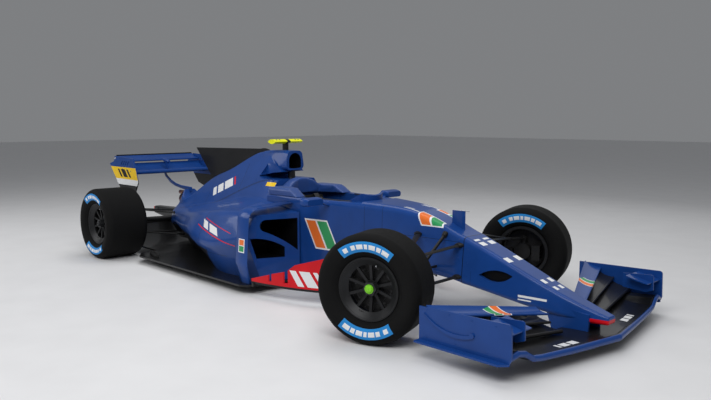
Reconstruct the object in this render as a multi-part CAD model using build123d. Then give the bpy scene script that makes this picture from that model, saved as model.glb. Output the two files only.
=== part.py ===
from build123d import *
import os
from math import asin, cos, radians, sin

# Whole car: millimetres, x forward from the front axle, y to the left, z up from the ground
WHEELBASE = 3600
FRONT_OVERHANG = 1165
REAR_OVERHANG = 725
OVERALL_WIDTH = 2000
SHIFT_X = (WHEELBASE + REAR_OVERHANG - FRONT_OVERHANG) / 2
REAR_X = -WHEELBASE
WHEEL_FACE_Y = OVERALL_WIDTH / 2
RIGHT = -1
LEFT = 1
SIDES = {"right": RIGHT, "left": LEFT}

# Wheels: 13 inch rims, slick tyres
TYRE_RADIUS = 335
SHOULDER_RADIUS = 55
BEAD_INSET = 46
FRONT_TYRE_WIDTH = 305
REAR_TYRE_WIDTH = 405
LIP_RADIUS = 193
BEAD_RADIUS = 178
BARREL_RADIUS = 166
RING_INNER_RADIUS = 143
HUB_RADIUS = 48
AXLE_RADIUS = 30
SPOKE_COUNT = 10
SPOKE_WIDTH = 17
NUT_ACROSS_FLATS = 74
FIT_GAP = 0.3
RIM_INSET = 42
HUB_INSET = 44
DRUM_INSET = 116
DRUM_RADIUS = 152

# Steering: the front wheels rest turned to the left, as they are seen
STEER_AT_REST = 20
KINGPIN_Y = WHEEL_FACE_Y - 210
KINGPIN_RADIUS = 10
BALL_JOINT_HEIGHT = 95
STEER_ARM = 95
RACK_RADIUS = 9
WHEEL_COLUMN_TILT = 14
STEERING_RATIO = 9

# Floor
FLOOR_BOTTOM = 60
FLOOR_TOP = 75
FLOOR_HALF_WIDTH = WHEEL_FACE_Y - 200
PLANK_BOTTOM = 50
PLANK_HALF_WIDTH = 150

# Tub and bodywork
BULKHEAD_X = 120
TUB_REAR_X = -1755
RIM_Z = 712
COVER_HALF_WIDTH = 210
POD_INNER_Y = 319

# Wings
FRONT_WING_HALF_SPAN = 890
ENDPLATE_THICKNESS = 10
STRAKE_HEIGHT = 8
FOOT_WIDTH = 46
REAR_WING_HALF_SPAN = 465
DRS_HINGE_X = REAR_X - 590
DRS_HINGE_Z = 922
DRS_PIN_RADIUS = 5
GILL_COUNT = 4
GILL_PITCH = 46


def closed_face(start, *steps):
    """Face bounded by lines (an end point) and arcs (a middle point and an end point)."""
    edges = []
    here = start
    for step in steps:
        if isinstance(step[0], tuple):
            middle, end = step
            edges.append(ThreePointArc(here, middle, end))
        else:
            end = step
            edges.append(Line(here, end))
        here = end
    if here != start:
        edges.append(Line(here, start))
    return make_face(edges)


def across(x):
    """Plane across the car at station x: sketch x is the car's y, sketch y is its z."""
    return Plane(origin=(x, 0, 0), x_dir=(0, 1, 0), z_dir=(1, 0, 0))


def along(y):
    """Plane along the car at y: sketch x is the car's x, sketch y is its z."""
    return Plane(origin=(0, y, 0), x_dir=(1, 0, 0), z_dir=(0, -1, 0))


def level(z):
    """Level plane at height z."""
    return Plane(origin=(0, 0, z), x_dir=(1, 0, 0), z_dir=(0, 0, 1))


def block(x_range, y_range, z_range):
    """Box given by its ranges."""
    size = [high - low for low, high in (x_range, y_range, z_range)]
    middle = [(high + low) / 2 for low, high in (x_range, y_range, z_range)]
    return Pos(*middle) * Box(*size)


def side_plate(outline, y_low, y_high):
    """Plate with an outline in x and z, between two values of y."""
    return extrude(along(y_high) * outline, y_high - y_low)


def both(part):
    """A right-hand part and its mirror image."""
    return part + mirror(part, Plane.XZ)


def at_rear(part):
    """A part drawn with x measured from the rear axle, moved to its place."""
    return Pos(REAR_X, 0, 0) * part


def lens(chord, thickness):
    """Streamlined section made of two arcs."""
    return closed_face(
        (-chord / 2, 0),
        ((0, thickness / 2), (chord / 2, 0)),
        ((0, -thickness / 2), (-chord / 2, 0)),
    )


def strut(start, end, chord, thickness):
    """Streamlined bar from one point to another, its chord along the car."""
    run = Vector(*end) - Vector(*start)
    plane = Plane(origin=start, x_dir=(1, 0, 0), z_dir=run)
    return extrude(plane * lens(chord, thickness), run.length)


def rod(start, end, radius):
    """Round bar from one point to another."""
    run = Vector(*end) - Vector(*start)
    return extrude(Plane(origin=start, z_dir=run) * Circle(radius), run.length)


def rounded_section(x, low, high, half_low, half_high, radius):
    """Trapezium across the car with rounded corners."""
    outline = Polygon(
        (-half_low, low), (half_low, low), (half_high, high), (-half_high, high), align=None
    )
    return across(x) * fillet(outline.vertices(), radius)


def aerofoil(y, nose_x, nose_z, chord, rise, depth, thick):
    """Wing section at y: rounded nose, hollow belly, rising tail."""
    tail_x = nose_x - chord
    tail_z = nose_z + rise
    top = (nose_x - 0.12 * chord, nose_z + thick)
    low = (nose_x - 0.12 * chord, nose_z - thick)
    face = closed_face(
        low,
        ((nose_x, nose_z), top),
        ((nose_x - 0.55 * chord, nose_z + 0.42 * rise - depth + thick), (tail_x, tail_z + 3)),
        (tail_x, tail_z - 3),
        ((nose_x - 0.55 * chord, nose_z + 0.36 * rise - depth - thick), low),
    )
    return along(y) * face


# Nose
NOSE_TIP_RADIUS = 12
NOSE = [
    # x, low, high, half_low, half_high, radius
    (1100, 152, 198, 50, 40, 14),
    (763, 160, 307, 102, 80, 28),
    (450, 200, 430, 126, 98, 30),
    (BULKHEAD_X, 244, 556, 142, 114, 32),
]


def make_nose_cone():
    nose = loft([rounded_section(*row) for row in NOSE])
    nose = fillet(nose.faces().sort_by(Axis.X)[-1].edges(), NOSE_TIP_RADIUS)
    slot = closed_face((250, 326), ((370, 372), (492, 350)), ((380, 298), (250, 326)))
    for side in SIDES.values():
        nose -= side_plate(slot, min(side * 96, side * 200), max(side * 96, side * 200))
    return nose


def make_nose_mast():
    mast = extrude(Plane.XY.offset(560) * (Pos(-15, 0) * lens(112, 15)), 150)
    return mast - tub_envelope


def make_nose_pylons(nose, main_plane):
    blade = closed_face((990, 60), (760, 60), (700, 230), (996, 200))
    pylon = side_plate(blade, -78, -62)
    return both(pylon - nose - main_plane)


# Tub
TUB = [
    # x, low, high, half_low, half_high, radius
    (BULKHEAD_X, 244, 556, 142, 114, 32),
    (-66, 266, 624, 150, 124, 36),
    (-300, 285, 692, 166, 146, 42),
    (-560, 270, 718, 196, 184, 48),
    (-900, 150, 728, 246, 240, 50),
    (-1340, 55, 738, 300, 308, 50),
    (-1550, 52, 742, 308, 316, 50),
    (TUB_REAR_X, 50, 744, 310, 318, 50),
]
COCKPIT_PLAN = [(-830, 112), (-1010, 205), (-1480, 252), (-1700, 252)]
COCKPIT_FLOOR_Z = 130
LEG_TUNNEL = ((-840, -150), (-112, 112), (320, 585))
COLUMN_POINT = (-935, 0, 622)
ARM_REST_Z = 772
HUMP_Z = 840
HUMP_HALF_WIDTH = 205
HUMP_LENGTH = 190


def column_axis():
    """Direction of the steering column, up and back towards the driver."""
    tilt = radians(WHEEL_COLUMN_TILT)
    return (-cos(tilt), 0, sin(tilt))


def on_column(distance):
    """Point on the steering column's axis, measured back from the wheel's hub."""
    return tuple(p + distance * d for p, d in zip(COLUMN_POINT, column_axis()))


def make_tub_envelope():
    shell = loft([rounded_section(*row) for row in TUB])
    ahead = block((-760, 200), (-500, 500), (0, 900))
    beside_seat = block((-1800, -760), (-500, 500), (FLOOR_TOP, RIM_Z))
    return shell & (ahead + beside_seat)


def make_monocoque():
    half = COCKPIT_PLAN
    plan = Polygon(*half, *[(x, -y) for x, y in reversed(half)], align=None)
    plan = fillet(plan.vertices(), 60)
    cavity = extrude(level(COCKPIT_FLOOR_Z) * plan, 800)
    tunnel = block(*LEG_TUNNEL)
    column = rod(on_column(-20), on_column(-290), 18 + FIT_GAP)
    rack = rod((rack_x(), -300, TYRE_RADIUS), (rack_x(), 300, TYRE_RADIUS), RACK_RADIUS + FIT_GAP)
    return tub_envelope - cavity - tunnel - column - rack


def make_cockpit_cowl():
    ring = closed_face(
        (-960, 168), ((-800, 0), (-960, -168)), (-960, -152), ((-816, 0), (-960, 152)), (-960, 168)
    )
    wall = extrude(level(RIM_Z) * ring, 90)
    rake = closed_face((-780, 700), (-780, 760), (-815, 792), (-860, 786), (-960, 730), (-960, 700))
    return wall & side_plate(rake, -300, 300)


def make_headrest():
    outer = [(-1325, 300), (-1400, 308), (TUB_REAR_X, 308)]
    inner = [(-1300, 226), (-1500, 190), (-1640, 150), (-1668, 60)]
    ring = outer + [(x, -y) for x, y in reversed(outer)]
    hole = inner + [(x, -y) for x, y in reversed(inner)]
    arms = extrude(level(RIM_Z) * Polygon(*ring, align=None), ARM_REST_Z - RIM_Z)
    top = arms.edges().filter_by(lambda e: e.center().Z > ARM_REST_Z - 1 and e.center().X > TUB_REAR_X + 1)
    arms = fillet(top, 26)
    arch = closed_face((-HUMP_HALF_WIDTH, RIM_Z), ((0, HUMP_Z), (HUMP_HALF_WIDTH, RIM_Z)))
    hump = extrude(across(TUB_REAR_X) * arch, HUMP_LENGTH)
    rake = closed_face(
        (TUB_REAR_X, RIM_Z), (TUB_REAR_X, HUMP_Z + 1), (TUB_REAR_X + 75, HUMP_Z + 1),
        ((TUB_REAR_X + 158, HUMP_Z - 42), (TUB_REAR_X + HUMP_LENGTH, RIM_Z))
    )
    hump = hump & side_plate(rake, -HUMP_HALF_WIDTH, HUMP_HALF_WIDTH)
    return arms + hump - extrude(level(RIM_Z - 1) * Polygon(*hole, align=None), HUMP_Z)


def make_seat():
    profile = closed_face(
        (-1000, COCKPIT_FLOOR_Z), (-1000, 205), (-1100, 190), ((-1330, 190), (-1450, 290)), (-1610, 690),
        (-1660, 690), (-1660, COCKPIT_FLOOR_Z)
    )
    bolster = closed_face(
        (-1050, COCKPIT_FLOOR_Z), (-1050, 260), (-1150, 300), (-1330, 340), (-1480, 560), (-1560, 650),
        (-1660, 650), (-1660, COCKPIT_FLOOR_Z)
    )
    seat = side_plate(profile, -165, 165)
    for side in SIDES.values():
        seat += side_plate(bolster, min(side * 165, side * 196), max(side * 165, side * 196))
    return seat


def make_steering_wheel():
    plane = Plane(origin=COLUMN_POINT, x_dir=(0, 1, 0), z_dir=column_axis())
    body = extrude(plane * RectangleRounded(170, 120, 22), 28)
    for side in SIDES.values():
        grip = Pos(side * 112, -6) * RectangleRounded(48, 150, 20)
        body += extrude(plane * grip, 34)
        spoke = Pos(side * 86, 8) * Rectangle(40, 60)
        body += extrude(plane * spoke, 24)
    column = rod(on_column(2), on_column(-270), 18)
    axis = Axis(COLUMN_POINT, column_axis())
    return (body + column).rotate(axis, STEERING_RATIO * STEER_AT_REST + 180)


# Bodywork behind the tub: half sections from the keel out round the pod and up to the spine
BODY = [
    # x, keel z, keel y, side y, side z, shoulder y, shoulder z, foot y, foot z, spine y, spine z, side radius
    (-1320, 60, 590, 690, 440, 628, 578, 322, 604, 150, 640, 60),
    (-1470, 56, 600, 724, 424, 652, 594, 322, 616, 160, 680, 70),
    (-1700, 52, 610, 744, 372, 660, 600, 322, 650, 190, 800, 80),
    (-2060, 40, 590, 748, 320, 630, 566, 280, 660, 62, 1030, 90),
    (-2471, 40, 360, 650, 330, 548, 516, 232, 596, 44, 948, 84),
    (REAR_X + 770, 40, 240, 478, 318, 410, 468, 192, 540, 40, 820, 70),
    (REAR_X + 450, 70, 190, 338, 300, 300, 432, 164, 500, 42, 690, 56),
    (REAR_X + 90, 190, 160, 226, 300, 206, 400, 132, 470, 62, 612, 44),
]
AIRBOX = [
    # x, low, high, half_low, half_high, radius
    (-1775, 898, 1062, 102, 76, 42),
    (-1930, 872, 1066, 118, 68, 42),
    (-2150, 780, 1050, 130, 54, 36),
]
HOOP_GAP = [(-1700, 845), (-1700, 896), (-2010, 866), (-1960, 845)]
POWER_POCKET = [
    # x from, x to, half width, low, high
    (-2480, TUB_REAR_X, 190, FLOOR_TOP, 560),
    (REAR_X + 270, -2480, 118, FLOOR_TOP, 430),
    (REAR_X, REAR_X + 270, 118, 100, 430),
]
POD_FRONT = [
    # x, y of the swept front edge, from outboard to the tub
    (-1540, -900),
    (-1470, -640),
    (-1336, -POD_INNER_Y),
]
POD_DUCT_END_X = -1820
UNDERCUT_END_X = -1640


def body_section(
    x, keel_z, keel_y, side_y, side_z, shoulder_y, shoulder_z, foot_y, foot_z, spine_y, spine_z, bend
):
    """Closed section of the bodywork across the car at station x."""
    half = [
        (keel_y, keel_z), (side_y, side_z), (shoulder_y, shoulder_z), (foot_y, foot_z), (spine_y, spine_z)
    ]
    outline = Polygon(*half, *[(-y, z) for y, z in reversed(half)], align=None)
    radii = [30, bend, bend, 40, 26]
    for (y, z), radius in zip(half, radii):
        for sign in (1, -1):
            corner = outline.vertices().sort_by_distance((sign * y, z, 0))[0]
            outline = fillet(corner, radius)
    return across(x) * outline


def make_bodywork():
    body = loft([body_section(*row) for row in BODY])
    return body & block((REAR_X, -1300), (-900, 900), (FLOOR_TOP, 1200))


def make_engine_cover(body):
    middle = block((REAR_X, TUB_REAR_X), (-COVER_HALF_WIDTH, COVER_HALF_WIDTH), (FLOOR_TOP, 1200))
    gap = side_plate(Polygon(*HOOP_GAP, align=None), -COVER_HALF_WIDTH, COVER_HALF_WIDTH)
    cover = (body & middle) + loft([rounded_section(*row) for row in AIRBOX]) - gap
    cover += extrude(level(840) * (Pos(-1825, 0) * lens(90, 30)), 64)
    for x_low, x_high, half, low, high in POWER_POCKET:
        cover -= block((x_low, x_high), (-half, half), (low, high))
    mouth = closed_face((-66, 918), ((0, 911), (66, 918)), (66, 980), ((0, 1044), (-66, 980)))
    cover -= extrude(across(-1700) * mouth, -330)
    return cover - rod(EXHAUST_START, EXHAUST_END, EXHAUST_RADIUS)


def make_sidepods(body):
    pod = body & block((REAR_X, TUB_REAR_X), (-900, -COVER_HALF_WIDTH), (FLOOR_TOP, 1200))
    swept = Polygon((TUB_REAR_X - 1, -POD_INNER_Y), (TUB_REAR_X - 1, -900), *POD_FRONT, align=None)
    pod += body & extrude(level(FLOOR_TOP) * swept, 1200)
    inlet = closed_face(
        (-332, 302), (-332, 560), (-560, 556), ((-612, 520), (-586, 466)), ((-450, 394), (-332, 302))
    )
    pod -= extrude(across(-1300) * inlet, POD_DUCT_END_X + 1300)
    undercut = closed_face((-430, 256), (-430, 334), ((-556, 398), (-690, 414)), (-640, 256))
    pod -= extrude(across(-1300) * undercut, UNDERCUT_END_X + 1300)
    return pod


def make_shark_fin(cover):
    outline = closed_face(
        (-2050, 1010), ((-2140, 1062), (-2260, 1066)), (REAR_X + 150, 1046), (REAR_X + 130, 1030),
        (REAR_X + 400, 640), (-2600, 800)
    )
    return side_plate(outline, -4, 4) - cover


CAMERA_X = -1905
CAMERA_Z = 1140
CAMERA_SPAN = 296


def make_camera_pod(cover):
    stalk = extrude(level(1050) * (Pos(CAMERA_X, 0) * lens(84, 24)), CAMERA_Z - 1050) - cover
    bar = Plane(origin=(CAMERA_X, -CAMERA_SPAN / 2, CAMERA_Z), x_dir=(1, 0, 0), z_dir=(0, 1, 0))
    return stalk + extrude(bar * lens(110, 40), CAMERA_SPAN)


# Power unit and rear structure
EXHAUST_START = (REAR_X + 200, 0, 492)
EXHAUST_END = (REAR_X - 40, 0, 505)
EXHAUST_RADIUS = 52
EXHAUST_WALL = 4


def make_power_unit():
    engine = block((-2440, -1790), (-180, 180), (FLOOR_TOP, 500))
    gearbox = block((REAR_X + 40, -2440), (-110, 110), (120, 410))
    return engine + gearbox


def make_exhaust():
    pipe = rod(EXHAUST_START, EXHAUST_END, EXHAUST_RADIUS)
    return pipe - rod((REAR_X + 120, 0, 496.3), (REAR_X - 100, 0, 508.3), EXHAUST_RADIUS - EXHAUST_WALL)


CRASH_STRUCTURE = [
    # x, low, high, half_low, half_high, radius
    (REAR_X + 40, 250, 400, 92, 92, 26),
    (REAR_X - 250, 270, 390, 70, 64, 22),
    (REAR_X - 590, 300, 380, 46, 42, 18),
]
JACK_PIN_X = REAR_X - 520
JACK_PIN_Z = 340
JACK_PIN_RADIUS = 12
JACK_PIN_LENGTH = 45
JACK_PIN_ROOT_Y = 58


def make_rear_crash_structure():
    beam = loft([rounded_section(*row) for row in CRASH_STRUCTURE])
    beam += block((JACK_PIN_X - 25, JACK_PIN_X + 25), (-JACK_PIN_ROOT_Y, JACK_PIN_ROOT_Y), (315, 365))
    reach = JACK_PIN_ROOT_Y + JACK_PIN_LENGTH
    beam += rod((JACK_PIN_X, -reach, JACK_PIN_Z), (JACK_PIN_X, reach, JACK_PIN_Z), JACK_PIN_RADIUS)
    return beam


def make_rain_light():
    return fillet(block((REAR_X - 615, REAR_X - 590), (-38, 38), (308, 372)).edges().filter_by(Axis.X), 8)


# Floor, plank and diffuser
DIFFUSER_HALF_WIDTH = WHEEL_FACE_Y - REAR_TYRE_WIDTH - 50
FENCE_THICKNESS = 10
FENCE_ROOTS = (0.33, 0.6)


def make_floor():
    half = [
        (-640, 120), (-700, 190), (-1180, 250), (-1330, 330), (-1420, FLOOR_HALF_WIDTH - 40),
        (-1480, FLOOR_HALF_WIDTH), (REAR_X + 520, FLOOR_HALF_WIDTH), (REAR_X + 395, FLOOR_HALF_WIDTH - 80),
        (REAR_X + 375, DIFFUSER_HALF_WIDTH), (REAR_X + 175, DIFFUSER_HALF_WIDTH)
    ]
    outline = Polygon(*half, *[(x, -y) for x, y in reversed(half)], align=None)
    return extrude(level(FLOOR_BOTTOM) * outline, FLOOR_TOP - FLOOR_BOTTOM)


def make_plank():
    front = -700
    rear = REAR_X + 200
    outline = Pos((front + rear) / 2, 0) * RectangleRounded(front - rear, 2 * PLANK_HALF_WIDTH, 60)
    return extrude(level(PLANK_BOTTOM) * outline, FLOOR_BOTTOM - PLANK_BOTTOM)


def make_diffuser():
    ramp = closed_face((175, FLOOR_BOTTOM), (175, FLOOR_TOP), ((-80, 118), (-360, 236)), (-360, 224),
                       ((-80, 104), (175, FLOOR_BOTTOM)))
    diffuser = side_plate(ramp, -DIFFUSER_HALF_WIDTH, DIFFUSER_HALF_WIDTH)
    fence = closed_face((160, 62), (-360, 62), (-360, 228), ((-80, 108), (160, 66)))
    roots = [share * DIFFUSER_HALF_WIDTH for share in FENCE_ROOTS] + [DIFFUSER_HALF_WIDTH - FENCE_THICKNESS]
    for y in roots:
        diffuser += both(side_plate(fence, y, y + FENCE_THICKNESS))
    return at_rear(diffuser)


# Front wing
MAIN_PLANE = [
    # y, nose x, nose z, chord, rise, depth, thick
    (0, FRONT_OVERHANG, 86, 330, 4, 0, 13),
    (250, 1122, 86, 318, 4, 0, 13),
    (400, 1097, 88, 290, 14, 6, 13),
    (FRONT_WING_HALF_SPAN - 240, 1054, 96, 268, 26, 12, 13),
    (FRONT_WING_HALF_SPAN - 175, 1043, 104, 262, 22, 12, 13),
    (FRONT_WING_HALF_SPAN - 115, 1033, 140, 256, -6, 6, 12),
    (FRONT_WING_HALF_SPAN - 60, 1024, 150, 253, -14, 4, 12),
    (FRONT_WING_HALF_SPAN, 1013, 134, 250, 2, 8, 12),
]
FLAPS = [
    # inner and outer end: y, nose x, nose z, chord, rise, depth, thick
    ((225, 918, 118, 170, 24, 8, 7), (FRONT_WING_HALF_SPAN, 806, 162, 156, 38, 10, 7)),
    ((225, 840, 154, 118, 32, 8, 6), (FRONT_WING_HALF_SPAN, 680, 216, 126, 38, 9, 6)),
    ((225, 822, 200, 88, 26, 6, 5), (FRONT_WING_HALF_SPAN, 580, 270, 126, 36, 8, 6)),
]


def make_front_wing_main_plane():
    half = loft([aerofoil(-row[0], *row[1:]) for row in MAIN_PLANE], ruled=True)
    return both(half)


def make_front_wing_flaps():
    flaps = None
    for inner, outer in FLAPS:
        flap = loft([aerofoil(-inner[0], *inner[1:]), aerofoil(-outer[0], *outer[1:])], ruled=True)
        flaps = both(flap) if flaps is None else flaps + both(flap)
    return flaps


def make_front_wing_endplates():
    outline = closed_face(
        (412, 100), (412, 298), (986, 314), ((1007, 308), (1013, 290)), (1017, 138), (1000, 100)
    )
    plate = side_plate(outline, -FRONT_WING_HALF_SPAN - ENDPLATE_THICKNESS, -FRONT_WING_HALF_SPAN)
    strake = closed_face(
        (450, 268), ((574, 206), (760, 206)), ((790, 208), (782, 194)), ((560, 194), (450, 268))
    )
    outer = FRONT_WING_HALF_SPAN + ENDPLATE_THICKNESS
    plate += side_plate(strake, -outer - STRAKE_HEIGHT, -outer)
    foot = closed_face((412, -outer), (412, -outer - FOOT_WIDTH), (965, -outer - FOOT_WIDTH), (1006, -outer))
    plate += extrude(level(100) * foot, 11)
    return both(plate)


def make_front_wing_fences():
    outline = closed_face(
        (800, 196), (800, 292), (985, 306), ((1002, 302), (1008, 288)), (1010, 206), (960, 186)
    )
    fence_y = FRONT_WING_HALF_SPAN - 118
    fence = side_plate(outline, -fence_y, -fence_y + 8)
    winglet = closed_face((1000, 258), ((930, 272), (850, 292)), (850, 286), ((930, 264), (1000, 252)))
    fence += side_plate(winglet, -FRONT_WING_HALF_SPAN, -fence_y + 78)
    return both(fence - front_wing_flaps)


# Rear wing
def make_rear_wing_main_plane():
    ends = [aerofoil(y, -200, 786, 306, 78, 30, 12) for y in (-REAR_WING_HALF_SPAN, REAR_WING_HALF_SPAN)]
    return at_rear(loft(ends, ruled=True))


def make_rear_wing_flap():
    half = REAR_WING_HALF_SPAN - 5
    flap = at_rear(loft([aerofoil(y, -476, 892, 140, 50, 8, 7) for y in (-half, half)], ruled=True))
    pin_reach = REAR_WING_HALF_SPAN + 9
    pin = rod((DRS_HINGE_X, -pin_reach, DRS_HINGE_Z), (DRS_HINGE_X, pin_reach, DRS_HINGE_Z), DRS_PIN_RADIUS)
    return flap + pin


def make_rear_wing_endplates():
    outline = closed_face(
        (-190, 930), (-605, 944), (-625, 890), (-REAR_OVERHANG, 862), (-500, 620), (-290, 560), (-280, 236),
        (-200, 180), (-186, 560), (-100, 690)
    )
    plate = side_plate(outline, -REAR_WING_HALF_SPAN - 12, -REAR_WING_HALF_SPAN)
    for gill in range(GILL_COUNT):
        x = -280 - GILL_PITCH * gill
        slot = closed_face((x, 900), (x - 15, 900), (x - 55, 856), (x - 40, 856))
        plate -= side_plate(slot, -REAR_WING_HALF_SPAN - 35, -REAR_WING_HALF_SPAN + 25)
    hole = rod((DRS_HINGE_X, -REAR_WING_HALF_SPAN - 35, DRS_HINGE_Z),
               (DRS_HINGE_X, -REAR_WING_HALF_SPAN + 25, DRS_HINGE_Z), DRS_PIN_RADIUS + FIT_GAP)
    return both(at_rear(plate) - hole)


def make_rear_wing_pylon(cover, main_plane):
    neck = closed_face(
        (180, 600), (164, 760), ((90, 890), (-80, 940)), ((-200, 922), (-275, 820)), (-238, 820),
        ((-180, 890), (-80, 908)), ((55, 862), (124, 760)), (110, 600)
    )
    brace = closed_face(
        (150, 600), (150, 640), ((-60, 668), (-240, 790)), (-280, 790), ((-90, 636), (100, 600))
    )
    pylon = side_plate(neck, -8, 8) + side_plate(brace, -8, 8)
    return at_rear(pylon) - cover - main_plane


def make_drs_actuator(main_plane):
    pod = loft([
        across(-312) * (Pos(0, 880) * Circle(12)),
        across(-360) * (Pos(0, 886) * Circle(20)),
        across(-450) * (Pos(0, 896) * Circle(12)),
    ])
    foot = extrude(level(800) * (Pos(-365, 0) * lens(70, 18)), 82)
    return at_rear(pod + foot) - main_plane


# Turning vanes of the body
def make_bargeboards():
    plan = closed_face(
        (-560, -430), ((-960, -640), (-1385, -742)), (-1385, -752), ((-957, -650), (-556, -440)), (-560, -430)
    )
    wall = extrude(level(90) * plan, 330)
    shape = closed_face(
        (-550, 96), (-550, 372), (-700, 366), (-980, 282), (-1038, 236), (-1038, 140), (-1074, 140),
        (-1074, 222), (-1182, 194), (-1182, 136), (-1210, 136), (-1210, 184), (-1390, 132), (-1390, 96)
    )
    board = wall & side_plate(shape, -900, -300)
    board += block((-1372, -1352), (-760, -728), (FLOOR_TOP, 104))
    board += block((-700, -680), (-520, -200), (100, 112))
    return both(board - tub_envelope)


POD_VANE_X = -1495
POD_VANE_CHORD = 112
POD_VANE_Y = FLOOR_HALF_WIDTH - 34


def make_pod_vanes():
    foot = (POD_VANE_X, -POD_VANE_Y + 44, FLOOR_BOTTOM)
    knee = (POD_VANE_X, -POD_VANE_Y, 230)
    elbow = (POD_VANE_X, -POD_VANE_Y + 30, 648)
    root = (POD_VANE_X, -290, 668)
    path = FilletPolyline(foot, knee, elbow, root, radius=(120, 90))
    start = Plane(origin=foot, x_dir=(1, 0, 0), z_dir=Vector(*knee) - Vector(*foot))
    vane = sweep(start * lens(POD_VANE_CHORD, 16), path=path)
    reach = block((POD_VANE_X - 100, POD_VANE_X + 100), (-900, 0), (FLOOR_TOP, 900))
    return both((vane & reach) - tub_envelope)


def make_mirrors():
    housing = loft([
        across(-1010) * (Pos(-430, 716) * RectangleRounded(150, 44, 18)),
        across(-1046) * (Pos(-430, 716) * RectangleRounded(172, 60, 22)),
        across(-1086) * (Pos(-430, 716) * RectangleRounded(176, 62, 22)),
    ])
    housing -= extrude(across(-1086) * (Pos(-430, 716) * RectangleRounded(160, 48, 16)), 6)
    stalk = strut((-1050, -360, 708), (-1060, -255, 672), 44, 12)
    return both(housing + (stalk - tub_envelope))


# Suspension
FRONT_ARMS = [
    # ball joint rise, junction z, front leg foot x y z, rear leg foot x y z
    (BALL_JOINT_HEIGHT, 448, (86, 126, 500), (-250, 148, 540)),
    (-BALL_JOINT_HEIGHT, 246, (86, 134, 290), (-300, 150, 320)),
]
ARM_JUNCTION_Y = 590
ARM_CHORD = 46
ARM_THICKNESS = 17


def rack_x():
    """Station of the rack, in line with the turned steering arms."""
    return -STEER_ARM * cos(radians(STEER_AT_REST))


def make_front_wishbones():
    arms = []
    for rise, junction_z, front_foot, rear_foot in FRONT_ARMS:
        ball = (0, -KINGPIN_Y, TYRE_RADIUS + rise)
        knee = (0, -ARM_JUNCTION_Y, junction_z)
        arm = Pos(*ball) * Cylinder(24, 22)
        arm += strut(ball, knee, ARM_CHORD, ARM_THICKNESS)
        arm += Pos(*knee) * Cylinder(22, ARM_THICKNESS)
        for x, y, z in (front_foot, rear_foot):
            arm += strut(knee, (x, -y, z), ARM_CHORD, ARM_THICKNESS)
        if rise < 0:
            arm += rod((0, -ARM_JUNCTION_Y + 10, junction_z), (-30, -118, 566), 11)
        arm -= Pos(*ball) * Cylinder(KINGPIN_RADIUS + FIT_GAP, 60)
        arms.append(arm - tub_envelope)
    return both(arms[0]) + both(arms[1])


def make_track_rods():
    shift = -STEER_ARM * sin(radians(STEER_AT_REST))
    ends = [(rack_x(), side * KINGPIN_Y + shift, TYRE_RADIUS) for side in (-1, 1)]
    bar = rod(*ends, RACK_RADIUS)
    for side in SIDES.values():
        end = Pos(rack_x(), side * KINGPIN_Y + shift, TYRE_RADIUS)
        bar += end * Cylinder(22, 24)
        bar -= end * Cylinder(13, 30)
    return bar


REAR_ARMS = [
    # outer z, front leg foot x y z, rear leg foot x y z
    (452, (REAR_X + 300, 105, 380), (REAR_X - 100, 60, 380)),
    (226, (REAR_X + 420, 105, 180), (REAR_X + 60, 105, 180)),
]
REAR_UPRIGHT_Y = WHEEL_FACE_Y - 388


def rear_links(chord, thickness, shaft_radius):
    """Right-hand rear arms and drive shaft, of a given girth."""
    links = []
    for outer_z, front_foot, rear_foot in REAR_ARMS:
        ball = (REAR_X, -REAR_UPRIGHT_Y - 6, outer_z)
        legs = [strut(ball, (x, -y, z), chord, thickness) for x, y, z in (front_foot, rear_foot)]
        links.append(legs[0] + legs[1])
    shaft_end = (REAR_X + 70, -100, TYRE_RADIUS - 10)
    links.append(rod((REAR_X, -REAR_UPRIGHT_Y - 6, TYRE_RADIUS), shaft_end, shaft_radius))
    return links


def make_rear_wishbones(carriers):
    links = None
    for link in rear_links(ARM_CHORD, ARM_THICKNESS, 24):
        for carrier in carriers:
            link -= carrier
        links = both(link) if links is None else links + both(link)
    return links


def rear_link_slots():
    """Clearances that the rear arms and shafts need through the bodywork."""
    slots = None
    for link in rear_links(ARM_CHORD + 16, ARM_THICKNESS + 12, 32):
        slots = both(link) if slots is None else slots + both(link)
    return slots


# Wheels and uprights: drawn straight ahead, y measured outboard
def turned(points, side, centre_x):
    """Solid of revolution about a wheel's axle from points of distance outboard and radius."""
    face = closed_face(*points)
    plane = Plane(origin=(centre_x, 0, TYRE_RADIUS), x_dir=(0, side, 0), z_dir=(side, 0, 0))
    axis = Axis((centre_x, 0, TYRE_RADIUS), (0, 1, 0))
    return revolve(plane * face, axis)


def sidewall_middle(width, height):
    """Middle of an arc that leaves the shoulder straight inward and ends a width and a height away."""
    radius = (width ** 2 + height ** 2) / (2 * width)
    half_turn = asin(height / radius) / 2
    return radius * (1 - cos(half_turn)), radius * sin(half_turn)


def make_tyre(side, centre_x, width):
    out = WHEEL_FACE_Y
    inn = out - width
    edge = BEAD_RADIUS + FIT_GAP
    foot = LIP_RADIUS + 2
    tread = TYRE_RADIUS
    widest = TYRE_RADIUS - SHOULDER_RADIUS
    bend = SHOULDER_RADIUS * (1 - cos(radians(45)))
    inset, drop = sidewall_middle(BEAD_INSET, widest - foot)
    points = [
        (out - BEAD_INSET, edge), (out - BEAD_INSET, foot), ((out - inset, widest - drop), (out, widest)),
        ((out - bend, tread - bend), (out - SHOULDER_RADIUS, tread)), (inn + SHOULDER_RADIUS, tread),
        ((inn + bend, tread - bend), (inn, widest)), ((inn + inset, widest - drop), (inn + BEAD_INSET, foot)),
        (inn + BEAD_INSET, edge), (out - BEAD_INSET, edge)
    ]
    return turned(points, side, centre_x)


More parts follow.
